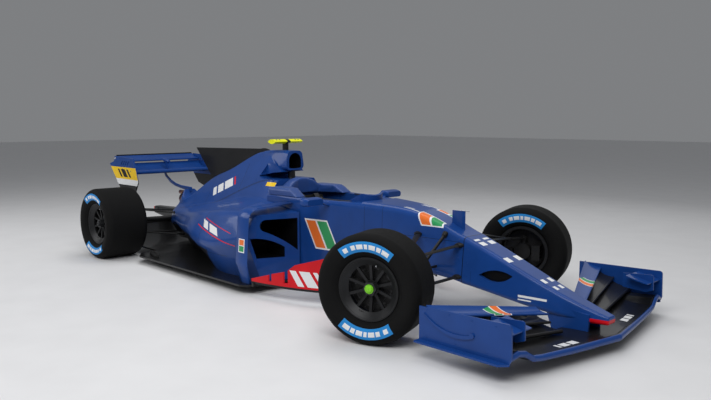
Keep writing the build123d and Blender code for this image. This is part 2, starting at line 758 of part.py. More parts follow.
def make_rim(side, centre_x, width):
    out = WHEEL_FACE_Y - RIM_INSET
    inn = WHEEL_FACE_Y - width + RIM_INSET
    points = [
        (inn, BARREL_RADIUS), (out - 30, BARREL_RADIUS),
        (out - 46, RING_INNER_RADIUS), (out - 30, RING_INNER_RADIUS),
        (out + 4, LIP_RADIUS - 8), (out + 4, LIP_RADIUS), (out - FIT_GAP, LIP_RADIUS),
        (out - FIT_GAP, BEAD_RADIUS), (inn + FIT_GAP, BEAD_RADIUS), (inn + FIT_GAP, LIP_RADIUS),
        (inn - 8, LIP_RADIUS), (inn - 8, BARREL_RADIUS + 8), (inn, BARREL_RADIUS)
    ]
    rim = turned(points, side, centre_x)
    hub = [
        (out - 66, AXLE_RADIUS + FIT_GAP), (out - HUB_INSET, AXLE_RADIUS + FIT_GAP),
        (out - HUB_INSET, HUB_RADIUS), (out - 66, HUB_RADIUS), (out - 66, AXLE_RADIUS + FIT_GAP)
    ]
    rim += turned(hub, side, centre_x)
    spoke_outline = closed_face(
        (out - 46, HUB_RADIUS - 4), (out - 32, RING_INNER_RADIUS + 2), (out - 46, RING_INNER_RADIUS + 2),
        (out - 64, HUB_RADIUS - 4)
    )
    plane = Plane(origin=(centre_x - SPOKE_WIDTH / 2, 0, TYRE_RADIUS), x_dir=(0, side, 0), z_dir=(side, 0, 0))
    spoke = extrude(plane * spoke_outline, side * SPOKE_WIDTH)
    axis = Axis((centre_x, 0, TYRE_RADIUS), (0, 1, 0))
    for index in range(SPOKE_COUNT):
        rim += spoke.rotate(axis, index * 360 / SPOKE_COUNT)
    return rim


def make_wheel_nut(side, centre_x):
    start = WHEEL_FACE_Y - RIM_INSET - HUB_INSET
    plane = Plane(origin=(centre_x, side * start, TYRE_RADIUS), x_dir=(1, 0, 0), z_dir=(0, side, 0))
    hexagon = RegularPolygon(NUT_ACROSS_FLATS / 2, 6, major_radius=False)
    nut = extrude(plane * hexagon, 26)
    nut += extrude(plane.offset(26) * Circle(28), 8)
    nut -= extrude(plane * Circle(AXLE_RADIUS - 6 + FIT_GAP), 26)
    return nut


def axle_stub(side, centre_x, start):
    """Stub axle through the hub, with a thinner end inside the nut."""
    hub_outer = WHEEL_FACE_Y - RIM_INSET - HUB_INSET
    y = side * start
    stub = rod((centre_x, y, TYRE_RADIUS), (centre_x, side * (hub_outer - 1), TYRE_RADIUS), AXLE_RADIUS)
    stub += rod((centre_x, y, TYRE_RADIUS), (centre_x, side * (hub_outer + 22), TYRE_RADIUS), AXLE_RADIUS - 6)
    return stub


def make_front_upright(side):
    pin_x = 0
    face = WHEEL_FACE_Y - DRUM_INSET
    back = KINGPIN_Y + 32
    drum = turned([(back, 20), (face, 20), (face, DRUM_RADIUS), (back, DRUM_RADIUS), (back, 20)], side, pin_x)
    inner = KINGPIN_Y - 48
    core = turned([(inner, 0), (back + 1, 0), (back + 1, 60), (inner, 60), (inner, 0)], side, pin_x)
    upright = drum + core + axle_stub(side, pin_x, KINGPIN_Y - 30)
    pin_reach = BALL_JOINT_HEIGHT + 20
    middle = (pin_x, side * KINGPIN_Y, TYRE_RADIUS)
    upright += Pos(*middle) * Cylinder(KINGPIN_RADIUS, 2 * pin_reach)
    upright += Pos(*middle) * Cylinder(20, 2 * (BALL_JOINT_HEIGHT - 15))
    arm = block((-STEER_ARM, -30), sorted((side * (KINGPIN_Y - 14), side * (KINGPIN_Y + 14))),
                (TYRE_RADIUS - 33, TYRE_RADIUS - 18))
    upright += arm
    upright += Pos(-STEER_ARM, side * KINGPIN_Y, TYRE_RADIUS - 25.5) * Cylinder(14, 15)
    upright += Pos(-STEER_ARM, side * KINGPIN_Y, TYRE_RADIUS - 3) * Cylinder(5, 40)
    scoop_y = sorted((side * (KINGPIN_Y - 90), side * (back + 2)))
    mouth_y = sorted((side * (KINGPIN_Y - 86), side * (KINGPIN_Y + 10)))
    scoop = block((78, 138), scoop_y, (TYRE_RADIUS - 56, TYRE_RADIUS + 56))
    mouth = block((82, 200), mouth_y, (TYRE_RADIUS - 50, TYRE_RADIUS + 50))
    for slat in (-25, 0, 25):
        mouth -= block((70, 210), mouth_y, (TYRE_RADIUS + slat - 2, TYRE_RADIUS + slat + 2))
    upright += scoop - mouth
    return upright


def make_rear_uprights():
    face = WHEEL_FACE_Y - DRUM_INSET
    back = REAR_UPRIGHT_Y + 48
    drum = turned([(back, 0), (face, 0), (face, DRUM_RADIUS), (back, DRUM_RADIUS), (back, 0)], RIGHT, REAR_X)
    inner = REAR_UPRIGHT_Y
    core = turned([(inner, 0), (back + 40, 0), (back + 40, 70), (inner, 70), (inner, 0)], RIGHT, REAR_X)
    post = block((REAR_X - 24, REAR_X + 24), (-back - 2, -inner), (215, 465))
    return both(drum + core + post + axle_stub(RIGHT, REAR_X, back + 30))


def steered(part, side):
    """A front corner's part turned about its kingpin to the resting angle."""
    return part.rotate(Axis((0, side * KINGPIN_Y, 0), (0, 0, 1)), STEER_AT_REST)


# Build every node
tub_envelope = make_tub_envelope()
bodywork = make_bodywork() - rear_link_slots()
nodes = {}
nodes["nose_cone"] = make_nose_cone()
nodes["monocoque"] = make_monocoque()
nodes["nose_mast"] = make_nose_mast()
nodes["cockpit_cowl"] = make_cockpit_cowl()
nodes["headrest"] = make_headrest()
nodes["seat"] = make_seat()
nodes["steering_wheel"] = make_steering_wheel()
nodes["engine_cover"] = make_engine_cover(bodywork)
nodes["sidepods"] = both(make_sidepods(bodywork))
nodes["shark_fin"] = make_shark_fin(nodes["engine_cover"])
nodes["camera_pod"] = make_camera_pod(nodes["engine_cover"])
nodes["power_unit"] = make_power_unit()
nodes["exhaust"] = make_exhaust()
nodes["rear_crash_structure"] = make_rear_crash_structure()
nodes["rain_light"] = make_rain_light()
nodes["floor"] = make_floor()
nodes["plank"] = make_plank()
nodes["diffuser"] = make_diffuser()
front_wing_main_plane = make_front_wing_main_plane()
front_wing_flaps = make_front_wing_flaps()
nodes["front_wing_main_plane"] = front_wing_main_plane
nodes["front_wing_flaps"] = front_wing_flaps
nodes["front_wing_endplates"] = make_front_wing_endplates()
nodes["front_wing_fences"] = make_front_wing_fences()
nodes["nose_pylons"] = make_nose_pylons(nodes["nose_cone"], front_wing_main_plane)
nodes["rear_wing_main_plane"] = make_rear_wing_main_plane()
nodes["rear_wing_flap"] = make_rear_wing_flap()
nodes["rear_wing_endplates"] = make_rear_wing_endplates()
nodes["rear_wing_pylon"] = make_rear_wing_pylon(nodes["engine_cover"], nodes["rear_wing_main_plane"])
nodes["drs_actuator"] = make_drs_actuator(nodes["rear_wing_main_plane"])
nodes["bargeboards"] = make_bargeboards()
nodes["pod_vanes"] = make_pod_vanes()
nodes["mirrors"] = make_mirrors()
nodes["front_wishbones"] = make_front_wishbones()
nodes["track_rods"] = make_track_rods()
nodes["rear_uprights"] = make_rear_uprights()
carriers = [nodes["rear_uprights"], nodes["power_unit"], nodes["rear_crash_structure"]]
nodes["rear_wishbones"] = make_rear_wishbones(carriers)
for name, side in SIDES.items():
    nodes[f"front_upright_{name}"] = steered(make_front_upright(side), side)
    nodes[f"tyre_front_{name}"] = steered(make_tyre(side, 0, FRONT_TYRE_WIDTH), side)
    nodes[f"rim_front_{name}"] = steered(make_rim(side, 0, FRONT_TYRE_WIDTH), side)
    nodes[f"nut_front_{name}"] = steered(make_wheel_nut(side, 0), side)
    nodes[f"tyre_rear_{name}"] = make_tyre(side, REAR_X, REAR_TYRE_WIDTH)
    nodes[f"rim_rear_{name}"] = make_rim(side, REAR_X, REAR_TYRE_WIDTH)
    nodes[f"nut_rear_{name}"] = make_wheel_nut(side, REAR_X)

os.makedirs("parts", exist_ok=True)
for name, part in nodes.items():
    export_step(Pos(SHIFT_X, 0, 0) * part, f"parts/{name}.step")
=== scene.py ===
import math

import bmesh
import bpy
from mathutils import Matrix, Vector
from mathutils.bvhtree import BVHTree


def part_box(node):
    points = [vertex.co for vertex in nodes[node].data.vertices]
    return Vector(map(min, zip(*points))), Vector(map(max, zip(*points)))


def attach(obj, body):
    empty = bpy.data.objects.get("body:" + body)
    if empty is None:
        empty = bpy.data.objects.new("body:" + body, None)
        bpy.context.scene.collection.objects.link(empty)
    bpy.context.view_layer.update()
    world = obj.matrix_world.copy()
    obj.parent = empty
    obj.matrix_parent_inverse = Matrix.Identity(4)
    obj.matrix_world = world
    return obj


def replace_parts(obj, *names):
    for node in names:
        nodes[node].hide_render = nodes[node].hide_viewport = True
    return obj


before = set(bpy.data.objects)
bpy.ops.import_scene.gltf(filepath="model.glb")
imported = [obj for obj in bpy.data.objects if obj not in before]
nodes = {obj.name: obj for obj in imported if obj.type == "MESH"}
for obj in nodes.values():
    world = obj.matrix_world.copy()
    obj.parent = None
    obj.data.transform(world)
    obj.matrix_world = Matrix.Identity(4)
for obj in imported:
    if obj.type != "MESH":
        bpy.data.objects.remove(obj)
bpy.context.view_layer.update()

# Places taken from the solids, in metres
FRONT_AXLE_X = 1.580
WHEELBASE = 3.600
REAR_AXLE_X = FRONT_AXLE_X - WHEELBASE
AXLE_Z = 0.335
WHEEL_FACE_Y = 1.000
KINGPIN_Y = 0.790
STEER_AT_REST = math.radians(20)
DRUM_FACE_Y = 0.884
TYRE_WIDTHS = {"front": 0.305, "rear": 0.405}
SIDES = {"right": -1, "left": 1}
X = (1, 0, 0)
Y = (0, 1, 0)
Z = (0, 0, 1)

# Colours, linear
BLUE = (0.0080, 0.050, 0.230)
SEAM = (0.003, 0.006, 0.016)
# Near-black painted shade, laid inside ducts, inlets, the airbox mouth and the cockpit where shade falls
RECESS_SHADE = (0.004, 0.004, 0.005)
WHITE = (0.78, 0.79, 0.80)
ORANGE = (0.80, 0.17, 0.03)
GREEN = (0.03, 0.30, 0.10)
YELLOW = (0.86, 0.56, 0.02)
RED = (0.60, 0.003, 0.010)
BLACK = (0.011, 0.011, 0.012)
NUT_GREEN = (0.22, 0.66, 0.03)


# Shader helpers
def new_finish(name):
    """An empty principled material, its nodes and the piece's own coordinates."""
    mat = bpy.data.materials.new(name)
    mat.use_nodes = True
    tree = mat.node_tree
    coords = tree.nodes.new("ShaderNodeTexCoord").outputs["Object"]
    return mat, tree, tree.nodes["Principled BSDF"], coords


def calc(tree, operation, *values):
    """One step of arithmetic on sockets and numbers."""
    node = tree.nodes.new("ShaderNodeMath")
    node.operation = operation
    for socket, value in zip(node.inputs, values):
        if isinstance(value, (int, float)):
            socket.default_value = value
        else:
            tree.links.new(value, socket)
    return node.outputs[0]


def distance(tree, coords, direction):
    """How far a point lies along a direction."""
    node = tree.nodes.new("ShaderNodeVectorMath")
    node.operation = "DOT_PRODUCT"
    tree.links.new(coords, node.inputs[0])
    node.inputs[1].default_value = direction
    return node.outputs["Value"]


def both_sides(tree, coords):
    """Coordinates with y folded over, so a mark shows on the left and the right."""
    parts = tree.nodes.new("ShaderNodeSeparateXYZ")
    joined = tree.nodes.new("ShaderNodeCombineXYZ")
    tree.links.new(coords, parts.inputs[0])
    tree.links.new(parts.outputs["X"], joined.inputs["X"])
    tree.links.new(calc(tree, "ABSOLUTE", parts.outputs["Y"]), joined.inputs["Y"])
    tree.links.new(parts.outputs["Z"], joined.inputs["Z"])
    return joined.outputs[0]


def noise(tree, coords, scale, detail=3.0, stretch=None):
    """Cloudy pattern, stretched along an axis where that is given."""
    node = tree.nodes.new("ShaderNodeTexNoise")
    node.inputs["Scale"].default_value = scale
    node.inputs["Detail"].default_value = detail
    if stretch:
        mapping = tree.nodes.new("ShaderNodeMapping")
        mapping.inputs["Scale"].default_value = stretch
        tree.links.new(coords, mapping.inputs["Vector"])
        coords = mapping.outputs["Vector"]
    tree.links.new(coords, node.inputs["Vector"])
    return node.outputs["Fac"]


def ramp(tree, factor, *stops):
    """Colour that runs through stops of place and colour."""
    node = tree.nodes.new("ShaderNodeValToRGB")
    band = node.color_ramp.elements
    while len(band) < len(stops):
        band.new(0.5)
    for element, (place, colour) in zip(band, stops):
        element.position = place
        element.color = (*colour, 1.0)
    tree.links.new(factor, node.inputs["Fac"])
    return node.outputs["Color"]


def spread(tree, factor, low, high):
    """A factor from 0 to 1 stretched to another range."""
    node = tree.nodes.new("ShaderNodeMapRange")
    node.inputs["To Min"].default_value = low
    node.inputs["To Max"].default_value = high
    tree.links.new(factor, node.inputs["Value"])
    return node.outputs["Result"]


def bump(tree, bsdf, height, strength, depth):
    """Fine relief from a height pattern."""
    node = tree.nodes.new("ShaderNodeBump")
    node.inputs["Strength"].default_value = strength
    node.inputs["Distance"].default_value = depth
    tree.links.new(height, node.inputs["Height"])
    tree.links.new(node.outputs["Normal"], bsdf.inputs["Normal"])


def shade(colour, amount):
    """Darker or lighter colour."""
    return tuple(min(1.0, c * amount) for c in colour)


def painted(tree, coords, tone, marks):
    """Lays marks over a tone: each is a colour and the limits, along directions, that bound it."""
    folded = both_sides(tree, coords)
    for colour, *limits in marks:
        area = None
        for direction, low, high in limits:
            along = distance(tree, folded, direction)
            band = calc(tree, "COMPARE", along, (low + high) / 2, (high - low) / 2)
            area = band if area is None else calc(tree, "MULTIPLY", area, band)
        node = tree.nodes.new("ShaderNodeMix")
        node.data_type = "RGBA"
        tree.links.new(area, node.inputs["Factor"])
        tree.links.new(tone, node.inputs["A"])
        node.inputs["B"].default_value = (*colour, 1.0)
        tone = node.outputs["Result"]
    return tone


# Finishes
def lacquer(name, colour, marks=(), roughness=0.34, coat=0.26):
    """Lacquered paint: soft mottling, fine flake, orange peel, and any marks given: its layout, and painted
    shade in recesses and under the pods.
    """
    mat, tree, bsdf, coords = new_finish(name)
    cloud = noise(tree, coords, 7.0, 4.0)
    flake = noise(tree, coords, 900.0, 2.0)
    peel = noise(tree, coords, 160.0, 1.0)
    tone = ramp(tree, cloud, (0.25, shade(colour, 0.9)), (0.75, shade(colour, 1.1)))
    tree.links.new(painted(tree, coords, tone, marks), bsdf.inputs["Base Color"])
    tree.links.new(spread(tree, flake, roughness - 0.06, roughness + 0.06), bsdf.inputs["Roughness"])
    bsdf.inputs["Specular IOR Level"].default_value = 0.14
    bsdf.inputs["Coat Weight"].default_value = coat
    bsdf.inputs["Coat Roughness"].default_value = 0.06
    bump(tree, bsdf, peel, 0.05, 0.0004)
    return mat


def carbon_weave(name, dark, light, roughness, coat, marks=(), pitch=0.0045):
    """Twill of carbon tows under resin: each tow passes over two and under two."""
    mat, tree, bsdf, coords = new_finish(name)
    warp = calc(tree, "DIVIDE", distance(tree, coords, (1.0, 0.37, 0.11)), pitch)
    weft = calc(tree, "DIVIDE", distance(tree, coords, (-0.2, 1.0, 0.93)), pitch)
    step = calc(tree, "ADD", calc(tree, "FLOOR", warp), calc(tree, "FLOOR", weft))
    over = calc(tree, "LESS_THAN", calc(tree, "FRACT", calc(tree, "MULTIPLY", step, 0.25)), 0.5)
    along_warp = calc(tree, "PINGPONG", weft, 0.5)
    along_weft = calc(tree, "PINGPONG", warp, 0.5)
    under = calc(tree, "SUBTRACT", 1.0, over)
    crown = calc(tree, "ADD", calc(tree, "MULTIPLY", over, along_warp),
                 calc(tree, "MULTIPLY", under, along_weft))
    grime = noise(tree, coords, 5.0, 5.0)
    lift = calc(tree, "MULTIPLY_ADD", over, 0.45, calc(tree, "MULTIPLY", grime, 0.5))
    tone = ramp(tree, lift, (0.1, dark), (0.9, light))
    tree.links.new(painted(tree, coords, tone, marks), bsdf.inputs["Base Color"])
    tree.links.new(spread(tree, grime, roughness - 0.08, roughness + 0.08), bsdf.inputs["Roughness"])
    bsdf.inputs["Specular IOR Level"].default_value = 0.2
    bsdf.inputs["Coat Weight"].default_value = coat
    bsdf.inputs["Coat Roughness"].default_value = 0.09
    bump(tree, bsdf, crown, 0.12, 0.0005)
    return mat


def tyre_rubber():
    """Slick rubber: scuffed, slightly grey, with fine grain."""
    mat, tree, bsdf, coords = new_finish("slick_rubber")
    scuff = noise(tree, coords, 38.0, 6.0)
    grain = noise(tree, coords, 1400.0, 2.0)
    tone = ramp(tree, scuff, (0.3, (0.0030, 0.0030, 0.0032)), (0.62, (0.0046, 0.0046, 0.0048)),
                (0.85, (0.0085, 0.0082, 0.0082)))
    tree.links.new(tone, bsdf.inputs["Base Color"])
    tree.links.new(spread(tree, scuff, 0.66, 0.92), bsdf.inputs["Roughness"])
    bsdf.inputs["Specular IOR Level"].default_value = 0.16
    bump(tree, bsdf, grain, 0.25, 0.0005)
    return mat


def metal(name, colour, roughness, metallic=1.0, marks=()):
    """Machined or cast metal with handling wear and fine tool marks."""
    mat, tree, bsdf, coords = new_finish(name)
    wear = noise(tree, coords, 60.0, 6.0)
    grain = noise(tree, coords, 1100.0, 2.0)
    tone = ramp(tree, wear, (0.3, shade(colour, 0.8)), (0.7, shade(colour, 1.25)))
    tree.links.new(painted(tree, coords, tone, marks), bsdf.inputs["Base Color"])
    tree.links.new(spread(tree, wear, roughness - 0.1, roughness + 0.1), bsdf.inputs["Roughness"])
    bsdf.inputs["Metallic"].default_value = metallic
    bump(tree, bsdf, grain, 0.08, 0.0003)
    return mat


def heat_tint():
    """Exhaust metal, straw to bronze to violet towards its hot end."""
    mat, tree, bsdf, coords = new_finish("heat_tinted_pipe")
    run = calc(tree, "MULTIPLY_ADD", distance(tree, coords, X), -4.0, -7.3)
    cloud = noise(tree, coords, 22.0, 4.0)
    wander = calc(tree, "MULTIPLY_ADD", cloud, 0.5, calc(tree, "SUBTRACT", run, 0.25))
    tone = ramp(tree, wander, (0.1, (0.42, 0.33, 0.22)), (0.45, (0.50, 0.28, 0.10)),
                (0.75, (0.27, 0.13, 0.09)), (0.95, (0.12, 0.09, 0.16)))
    tree.links.new(tone, bsdf.inputs["Base Color"])
    tree.links.new(spread(tree, noise(tree, coords, 90.0), 0.24, 0.46), bsdf.inputs["Roughness"])
    bsdf.inputs["Metallic"].default_value = 1.0
    bump(tree, bsdf, noise(tree, coords, 500.0), 0.08, 0.0004)
    return mat


def cover_skin(name, colour, roughness):
    """Coated cover of a foam pad: small pebbled grain and a soft sheen."""
    mat, tree, bsdf, coords = new_finish(name)
    cells = tree.nodes.new("ShaderNodeTexVoronoi")
    cells.inputs["Scale"].default_value = 620.0
    tree.links.new(coords, cells.inputs["Vector"])
    rub = noise(tree, coords, 14.0, 5.0)
    tone = ramp(tree, rub, (0.25, shade(colour, 0.86)), (0.8, shade(colour, 1.14)))
    tree.links.new(tone, bsdf.inputs["Base Color"])
    tree.links.new(spread(tree, rub, roughness - 0.07, roughness + 0.1), bsdf.inputs["Roughness"])
    bsdf.inputs["Sheen Weight"].default_value = 0.1
    bump(tree, bsdf, cells.outputs["Distance"], 0.18, 0.0006)
    return mat


def woven_web(name, colour, pitch=0.0016):
    """Plain weave of belts and seat cloth."""
    mat, tree, bsdf, coords = new_finish(name)
    threads = []
    for direction in ((0.5, 1.0, 0.3), (0.8, -0.2, 1.0)):
        turns = calc(tree, "MULTIPLY", distance(tree, coords, direction), math.tau / pitch)
        threads.append(calc(tree, "SINE", turns))
    weave = calc(tree, "MULTIPLY_ADD", calc(tree, "MULTIPLY", *threads), 0.5, 0.5)
    dust = noise(tree, coords, 18.0, 5.0)
    lift = calc(tree, "MULTIPLY_ADD", weave, 0.4, calc(tree, "MULTIPLY", dust, 0.6))
    tone = ramp(tree, lift, (0.2, shade(colour, 0.6)), (0.8, shade(colour, 1.3)))
    tree.links.new(tone, bsdf.inputs["Base Color"])
    tree.links.new(spread(tree, dust, 0.72, 0.95), bsdf.inputs["Roughness"])
    bsdf.inputs["Sheen Weight"].default_value = 0.25
    bump(tree, bsdf, weave, 0.4, 0.0006)
    return mat


def clear_face(name, colour, roughness, metallic, glow=0.0):
    """Glassy face of a mirror, lens, display or lamp, with faint smears."""
    mat, tree, bsdf, coords = new_finish(name)
    smear = noise(tree, coords, 30.0, 5.0)
    tone = ramp(tree, smear, (0.3, shade(colour, 0.9)), (0.7, shade(colour, 1.1)))
    tree.links.new(tone, bsdf.inputs["Base Color"])
    tree.links.new(spread(tree, smear, roughness, roughness + 0.08), bsdf.inputs["Roughness"])
    bsdf.inputs["Metallic"].default_value = metallic
    bsdf.inputs["Coat Weight"].default_value = 0.8
    bsdf.inputs["Coat Roughness"].default_value = 0.03
    if glow:
        tree.links.new(tone, bsdf.inputs["Emission Color"])
        bsdf.inputs["Emission Strength"].default_value = glow
    return mat


def skid_wood():
    """Pressed board of the plank: long brown grain and scrapes."""
    mat, tree, bsdf, coords = new_finish("pressed_plank_board")
    grain = noise(tree, coords, 120.0, 5.0, (0.04, 1.0, 1.0))
    tree.links.new(ramp(tree, grain, (0.3, (0.045, 0.026, 0.014)), (0.7, (0.11, 0.066, 0.035))),
                   bsdf.inputs["Base Color"])
    tree.links.new(spread(tree, grain, 0.55, 0.85), bsdf.inputs["Roughness"])
    bump(tree, bsdf, grain, 0.3, 0.0008)
    return mat


# Directions that marks of the paint follow
COVER_RISE = (-0.3545, 0, 1)
LEAN = (1, 0, 0.9)
FLAG = (1, 0, 0.5)
WING_SWEEP = (1, 0.1715, 0)
FLAP_RISE = (0, -0.1008, 1)
POD_SWEEP = (1, 0.417, 0)
POD_FALL = (0.15, 0, 1)
POD_UNDERCUT = (1, 0, -0.704)
BOARD_LEAN = (1, 0, 0.6)

# Areas that several marks share
NOSE_FLANK = (Y, 0.08, 0.2)
TUB_FLANK = (Y, 0.22, 0.4)
TUB_FLAG_INNER = (Z, 0.342, 0.548)
COVER_BAND = ((COVER_RISE, 1.048, 1.136), (Y, 0.05, 0.21))
SIDE_PLATE = ((X, -0.30, -0.182), (Z, 0.770, 0.802), (Y, 0.12, 0.3))
POD_FLANK = (Y, 0.5, 0.8)
POD_BAND = (POD_FALL, 0.348, 0.400)
POD_MOUTH = (POD_SWEEP, -2, 0.374)
VANE_FACE = (Y, 0.7, 0.9)
BOARD_BAND = (Z, 0.128, 0.240)
PLANE_BAND = ((WING_SWEEP, 2.640, 2.686), (Z, 0.094, 0.3))
FLAP_FLAG = (X, 2.19, 2.335)
FLAP_FLAG_INNER = (FLAP_RISE, 0.181, 1)
PLATE_OUTSIDE = (Y, 0.4735, 0.6)
PLATE_BARS = ((Z, 0.735, 0.815), PLATE_OUTSIDE)

# Marks of the paint, painted shade among them, in metres: colour, then limits along directions
NOSE_MARKS = [
    (WHITE, (X, 2.12, 2.31), (Z, 0.232, 0.246), NOSE_FLANK),
    (WHITE, (X, 2.12, 2.21), (Z, 0.214, 0.222), NOSE_FLANK),
    (WHITE, (X, 1.745, 1.765), (Y, 0.02, 0.075), (Z, 0.48, 0.7)),
    (WHITE, (X, 1.785, 1.825), (Y, 0.02, 0.075), (Z, 0.45, 0.7)),
    (WHITE, (X, 1.98, 2.03), (Y, 0.03, 0.08), (Z, 0.39, 0.6)),
    (WHITE, (X, 2.235, 2.275), (Y, 0.02, 0.055), (Z, 0.3, 0.5)),
    (WHITE, (X, 2.315, 2.350), (Y, 0.015, 0.045), (Z, 0.28, 0.5)),
    # Painted shade: near-black inside the duct of the nose
    (RECESS_SHADE, (X, 1.829, 2.073), (Z, 0.297, 0.373), (Y, 0.0, 0.0975)),
    (RED, (X, 2.575, 2.70), (Z, 0.10, 0.180)),
    (SEAM, (X, 1.699, 1.7025)),
    (SEAM, (X, 1.768, 1.7695), (Z, 0.2, 0.34)),
]
TUB_MARKS = [
    (WHITE, (FLAG, 0.565, 0.795), (Z, 0.330, 0.560), TUB_FLANK),
    (ORANGE, (FLAG, 0.577, 0.672), TUB_FLAG_INNER, TUB_FLANK),
    (GREEN, (FLAG, 0.688, 0.783), TUB_FLAG_INNER, TUB_FLANK),
    (WHITE, (FLAG, 1.650, 1.830), (Z, 0.600, 0.8), (Y, 0.07, 0.2)),
    (ORANGE, (FLAG, 1.660, 1.733), (Z, 0.608, 0.8), (Y, 0.078, 0.2)),
    (GREEN, (FLAG, 1.747, 1.820), (Z, 0.608, 0.8), (Y, 0.078, 0.2)),
    (WHITE, (X, 1.16, 1.30), (Y, 0.100, 0.112), (Z, 0.66, 0.8)),
    (WHITE, (X, 1.16, 1.24), (Y, 0.080, 0.088), (Z, 0.66, 0.8)),
    # Painted shade: near-black inside the cockpit and the tub's opening, below the rim
    (RECESS_SHADE, (X, 0.57, 0.758), ((0.517, 1, 0), -1, 0.505), (Z, 0.128, 0.600)),
    (RECESS_SHADE, (X, -0.125, 0.571), ((0.1, 1, 0), -1, 0.267), (Z, 0.128, 0.600)),
    (RECESS_SHADE, (X, 0.73, 1.435), (Y, 0, 0.1135), (Z, 0.3185, 0.587)),
    (SEAM, (X, 1.6975, 1.701)),
    (SEAM, (X, 1.019, 1.0215), (Z, 0.52, 0.8)),
    (SEAM, (Z, 0.519, 0.5215), (X, 1.019, 1.70), (Y, 0.12, 0.3)),
    (SEAM, (X, 0.86, 0.8625), (Z, 0.1, 0.70)),
]
COVER_MARKS = [
    # Painted shade: near-black over the lower rear of the cover, for the shadowed undercut and the floor seen
    # below it
    (BLACK, (Z, 0, 0.300), (X, -3, -0.6)),
    (WHITE, (LEAN, -0.70, -0.62), *COVER_BAND),
    (WHITE, (LEAN, -0.585, -0.46), *COVER_BAND),
    (WHITE, (LEAN, -0.425, -0.25), *COVER_BAND),
    (RED, (LEAN, -0.22, -0.19), *COVER_BAND),
    (YELLOW, *SIDE_PLATE),
    # Painted shade: near-black inside the airbox's mouth
    (RECESS_SHADE, (X, -0.46, -0.1975), (Y, 0, 0.0668), (Z, 0.9105, 1.0445)),
    (SEAM, (X, -0.752, -0.749), (Z, 0.55, 0.93)),
    (SEAM, (X, -1.352, -1.349)),
    (SEAM, (Y, 0.2065, 0.2085)),
]
POD_MARKS = [
    # Painted shade: near-black over the lower rear of the pods, for the shadowed undercut and the floor seen
    # below it
    (BLACK, (Z, 0, 0.262), (POD_UNDERCUT, -3, -0.669), (LEAN, -5, -0.235)),
    (WHITE, (LEAN, -0.19, -0.10), POD_BAND, POD_FLANK),
    (WHITE, (LEAN, -0.07, 0.06), POD_BAND, POD_FLANK),
    (RED, (POD_FALL, 0.330, 0.338), (X, -0.72, -0.06), POD_FLANK),
    (RED, (POD_FALL, 0.414, 0.420), (X, -0.60, -0.12), POD_FLANK),
    (YELLOW, *SIDE_PLATE),
    # Painted shade: near-black inside the mouths of the pod inlets, upper and lower
    (RECESS_SHADE, (Y, 0.3310, 0.6175), (Z, 0.300, 0.5612), (X, -0.26, 0.5), POD_MOUTH),
    (RECESS_SHADE, (Y, 0.4285, 0.8), ((0, 1, -0.316), -1, 0.5660), (Z, 0.2545, 0.4155), (X, -0.062, 0.5), POD_MOUTH),
    (SEAM, (X, -0.602, -0.599), (Y, 0.3, 0.9)),
    (SEAM, (X, -1.352, -1.349)),
    (SEAM, (Y, 0.2115, 0.2135)),
    (SEAM, (Z, 0.2385, 0.241), (X, -1.35, -0.20), (Y, 0.5, 0.9)),
]
VANE_MARKS = [
    (WHITE, (Z, 0.318, 0.424), (X, 0.048, 0.124), VANE_FACE),
    (ORANGE, (Z, 0.374, 0.416), (X, 0.056, 0.116), VANE_FACE),
    (GREEN, (Z, 0.326, 0.368), (X, 0.056, 0.116), VANE_FACE),
]
BOARD_MARKS = [
    (WHITE, (BOARD_LEAN, 0.700, 0.750), BOARD_BAND),
    (WHITE, (BOARD_LEAN, 0.775, 0.855), BOARD_BAND),
    (WHITE, (BOARD_LEAN, 0.880, 0.910), BOARD_BAND),
    (BLACK, (Z, 0.0, 0.113)),
]
MAIN_PLANE_MARKS = [
    (BLUE, (WING_SWEEP, 2.728, 2.9)),
    (WHITE, (Y, 0.290, 0.345), *PLANE_BAND),
    (WHITE, (Y, 0.360, 0.415), *PLANE_BAND),
    (WHITE, (Y, 0.430, 0.450), *PLANE_BAND),
]
FLAP_MARKS = [
    (BLACK, (FLAP_RISE, -1, 0.1693)),
    (WHITE, FLAP_FLAG, (Y, 0.468, 0.582), (FLAP_RISE, 0.178, 1)),
    (ORANGE, FLAP_FLAG, (Y, 0.475, 0.520), FLAP_FLAG_INNER),
    (GREEN, FLAP_FLAG, (Y, 0.530, 0.575), FLAP_FLAG_INNER),
]
REAR_PLATE_MARKS = [
    (BLACK, (Z, 0.0, 0.72)),
    (YELLOW, (Z, 0.714, 0.835), PLATE_OUTSIDE),
    (WHITE, (Z, 0.655, 0.714), PLATE_OUTSIDE),
    (BLACK, (LEAN, -1.83, -1.79), *PLATE_BARS),
    (BLACK, (LEAN, -1.76, -1.67), *PLATE_BARS),
    (BLACK, (LEAN, -1.64, -1.60), *PLATE_BARS),
]


def blue_paint(name, marks=()):
    """Lacquer in the body's blue."""
    return lacquer(name, BLUE, marks)


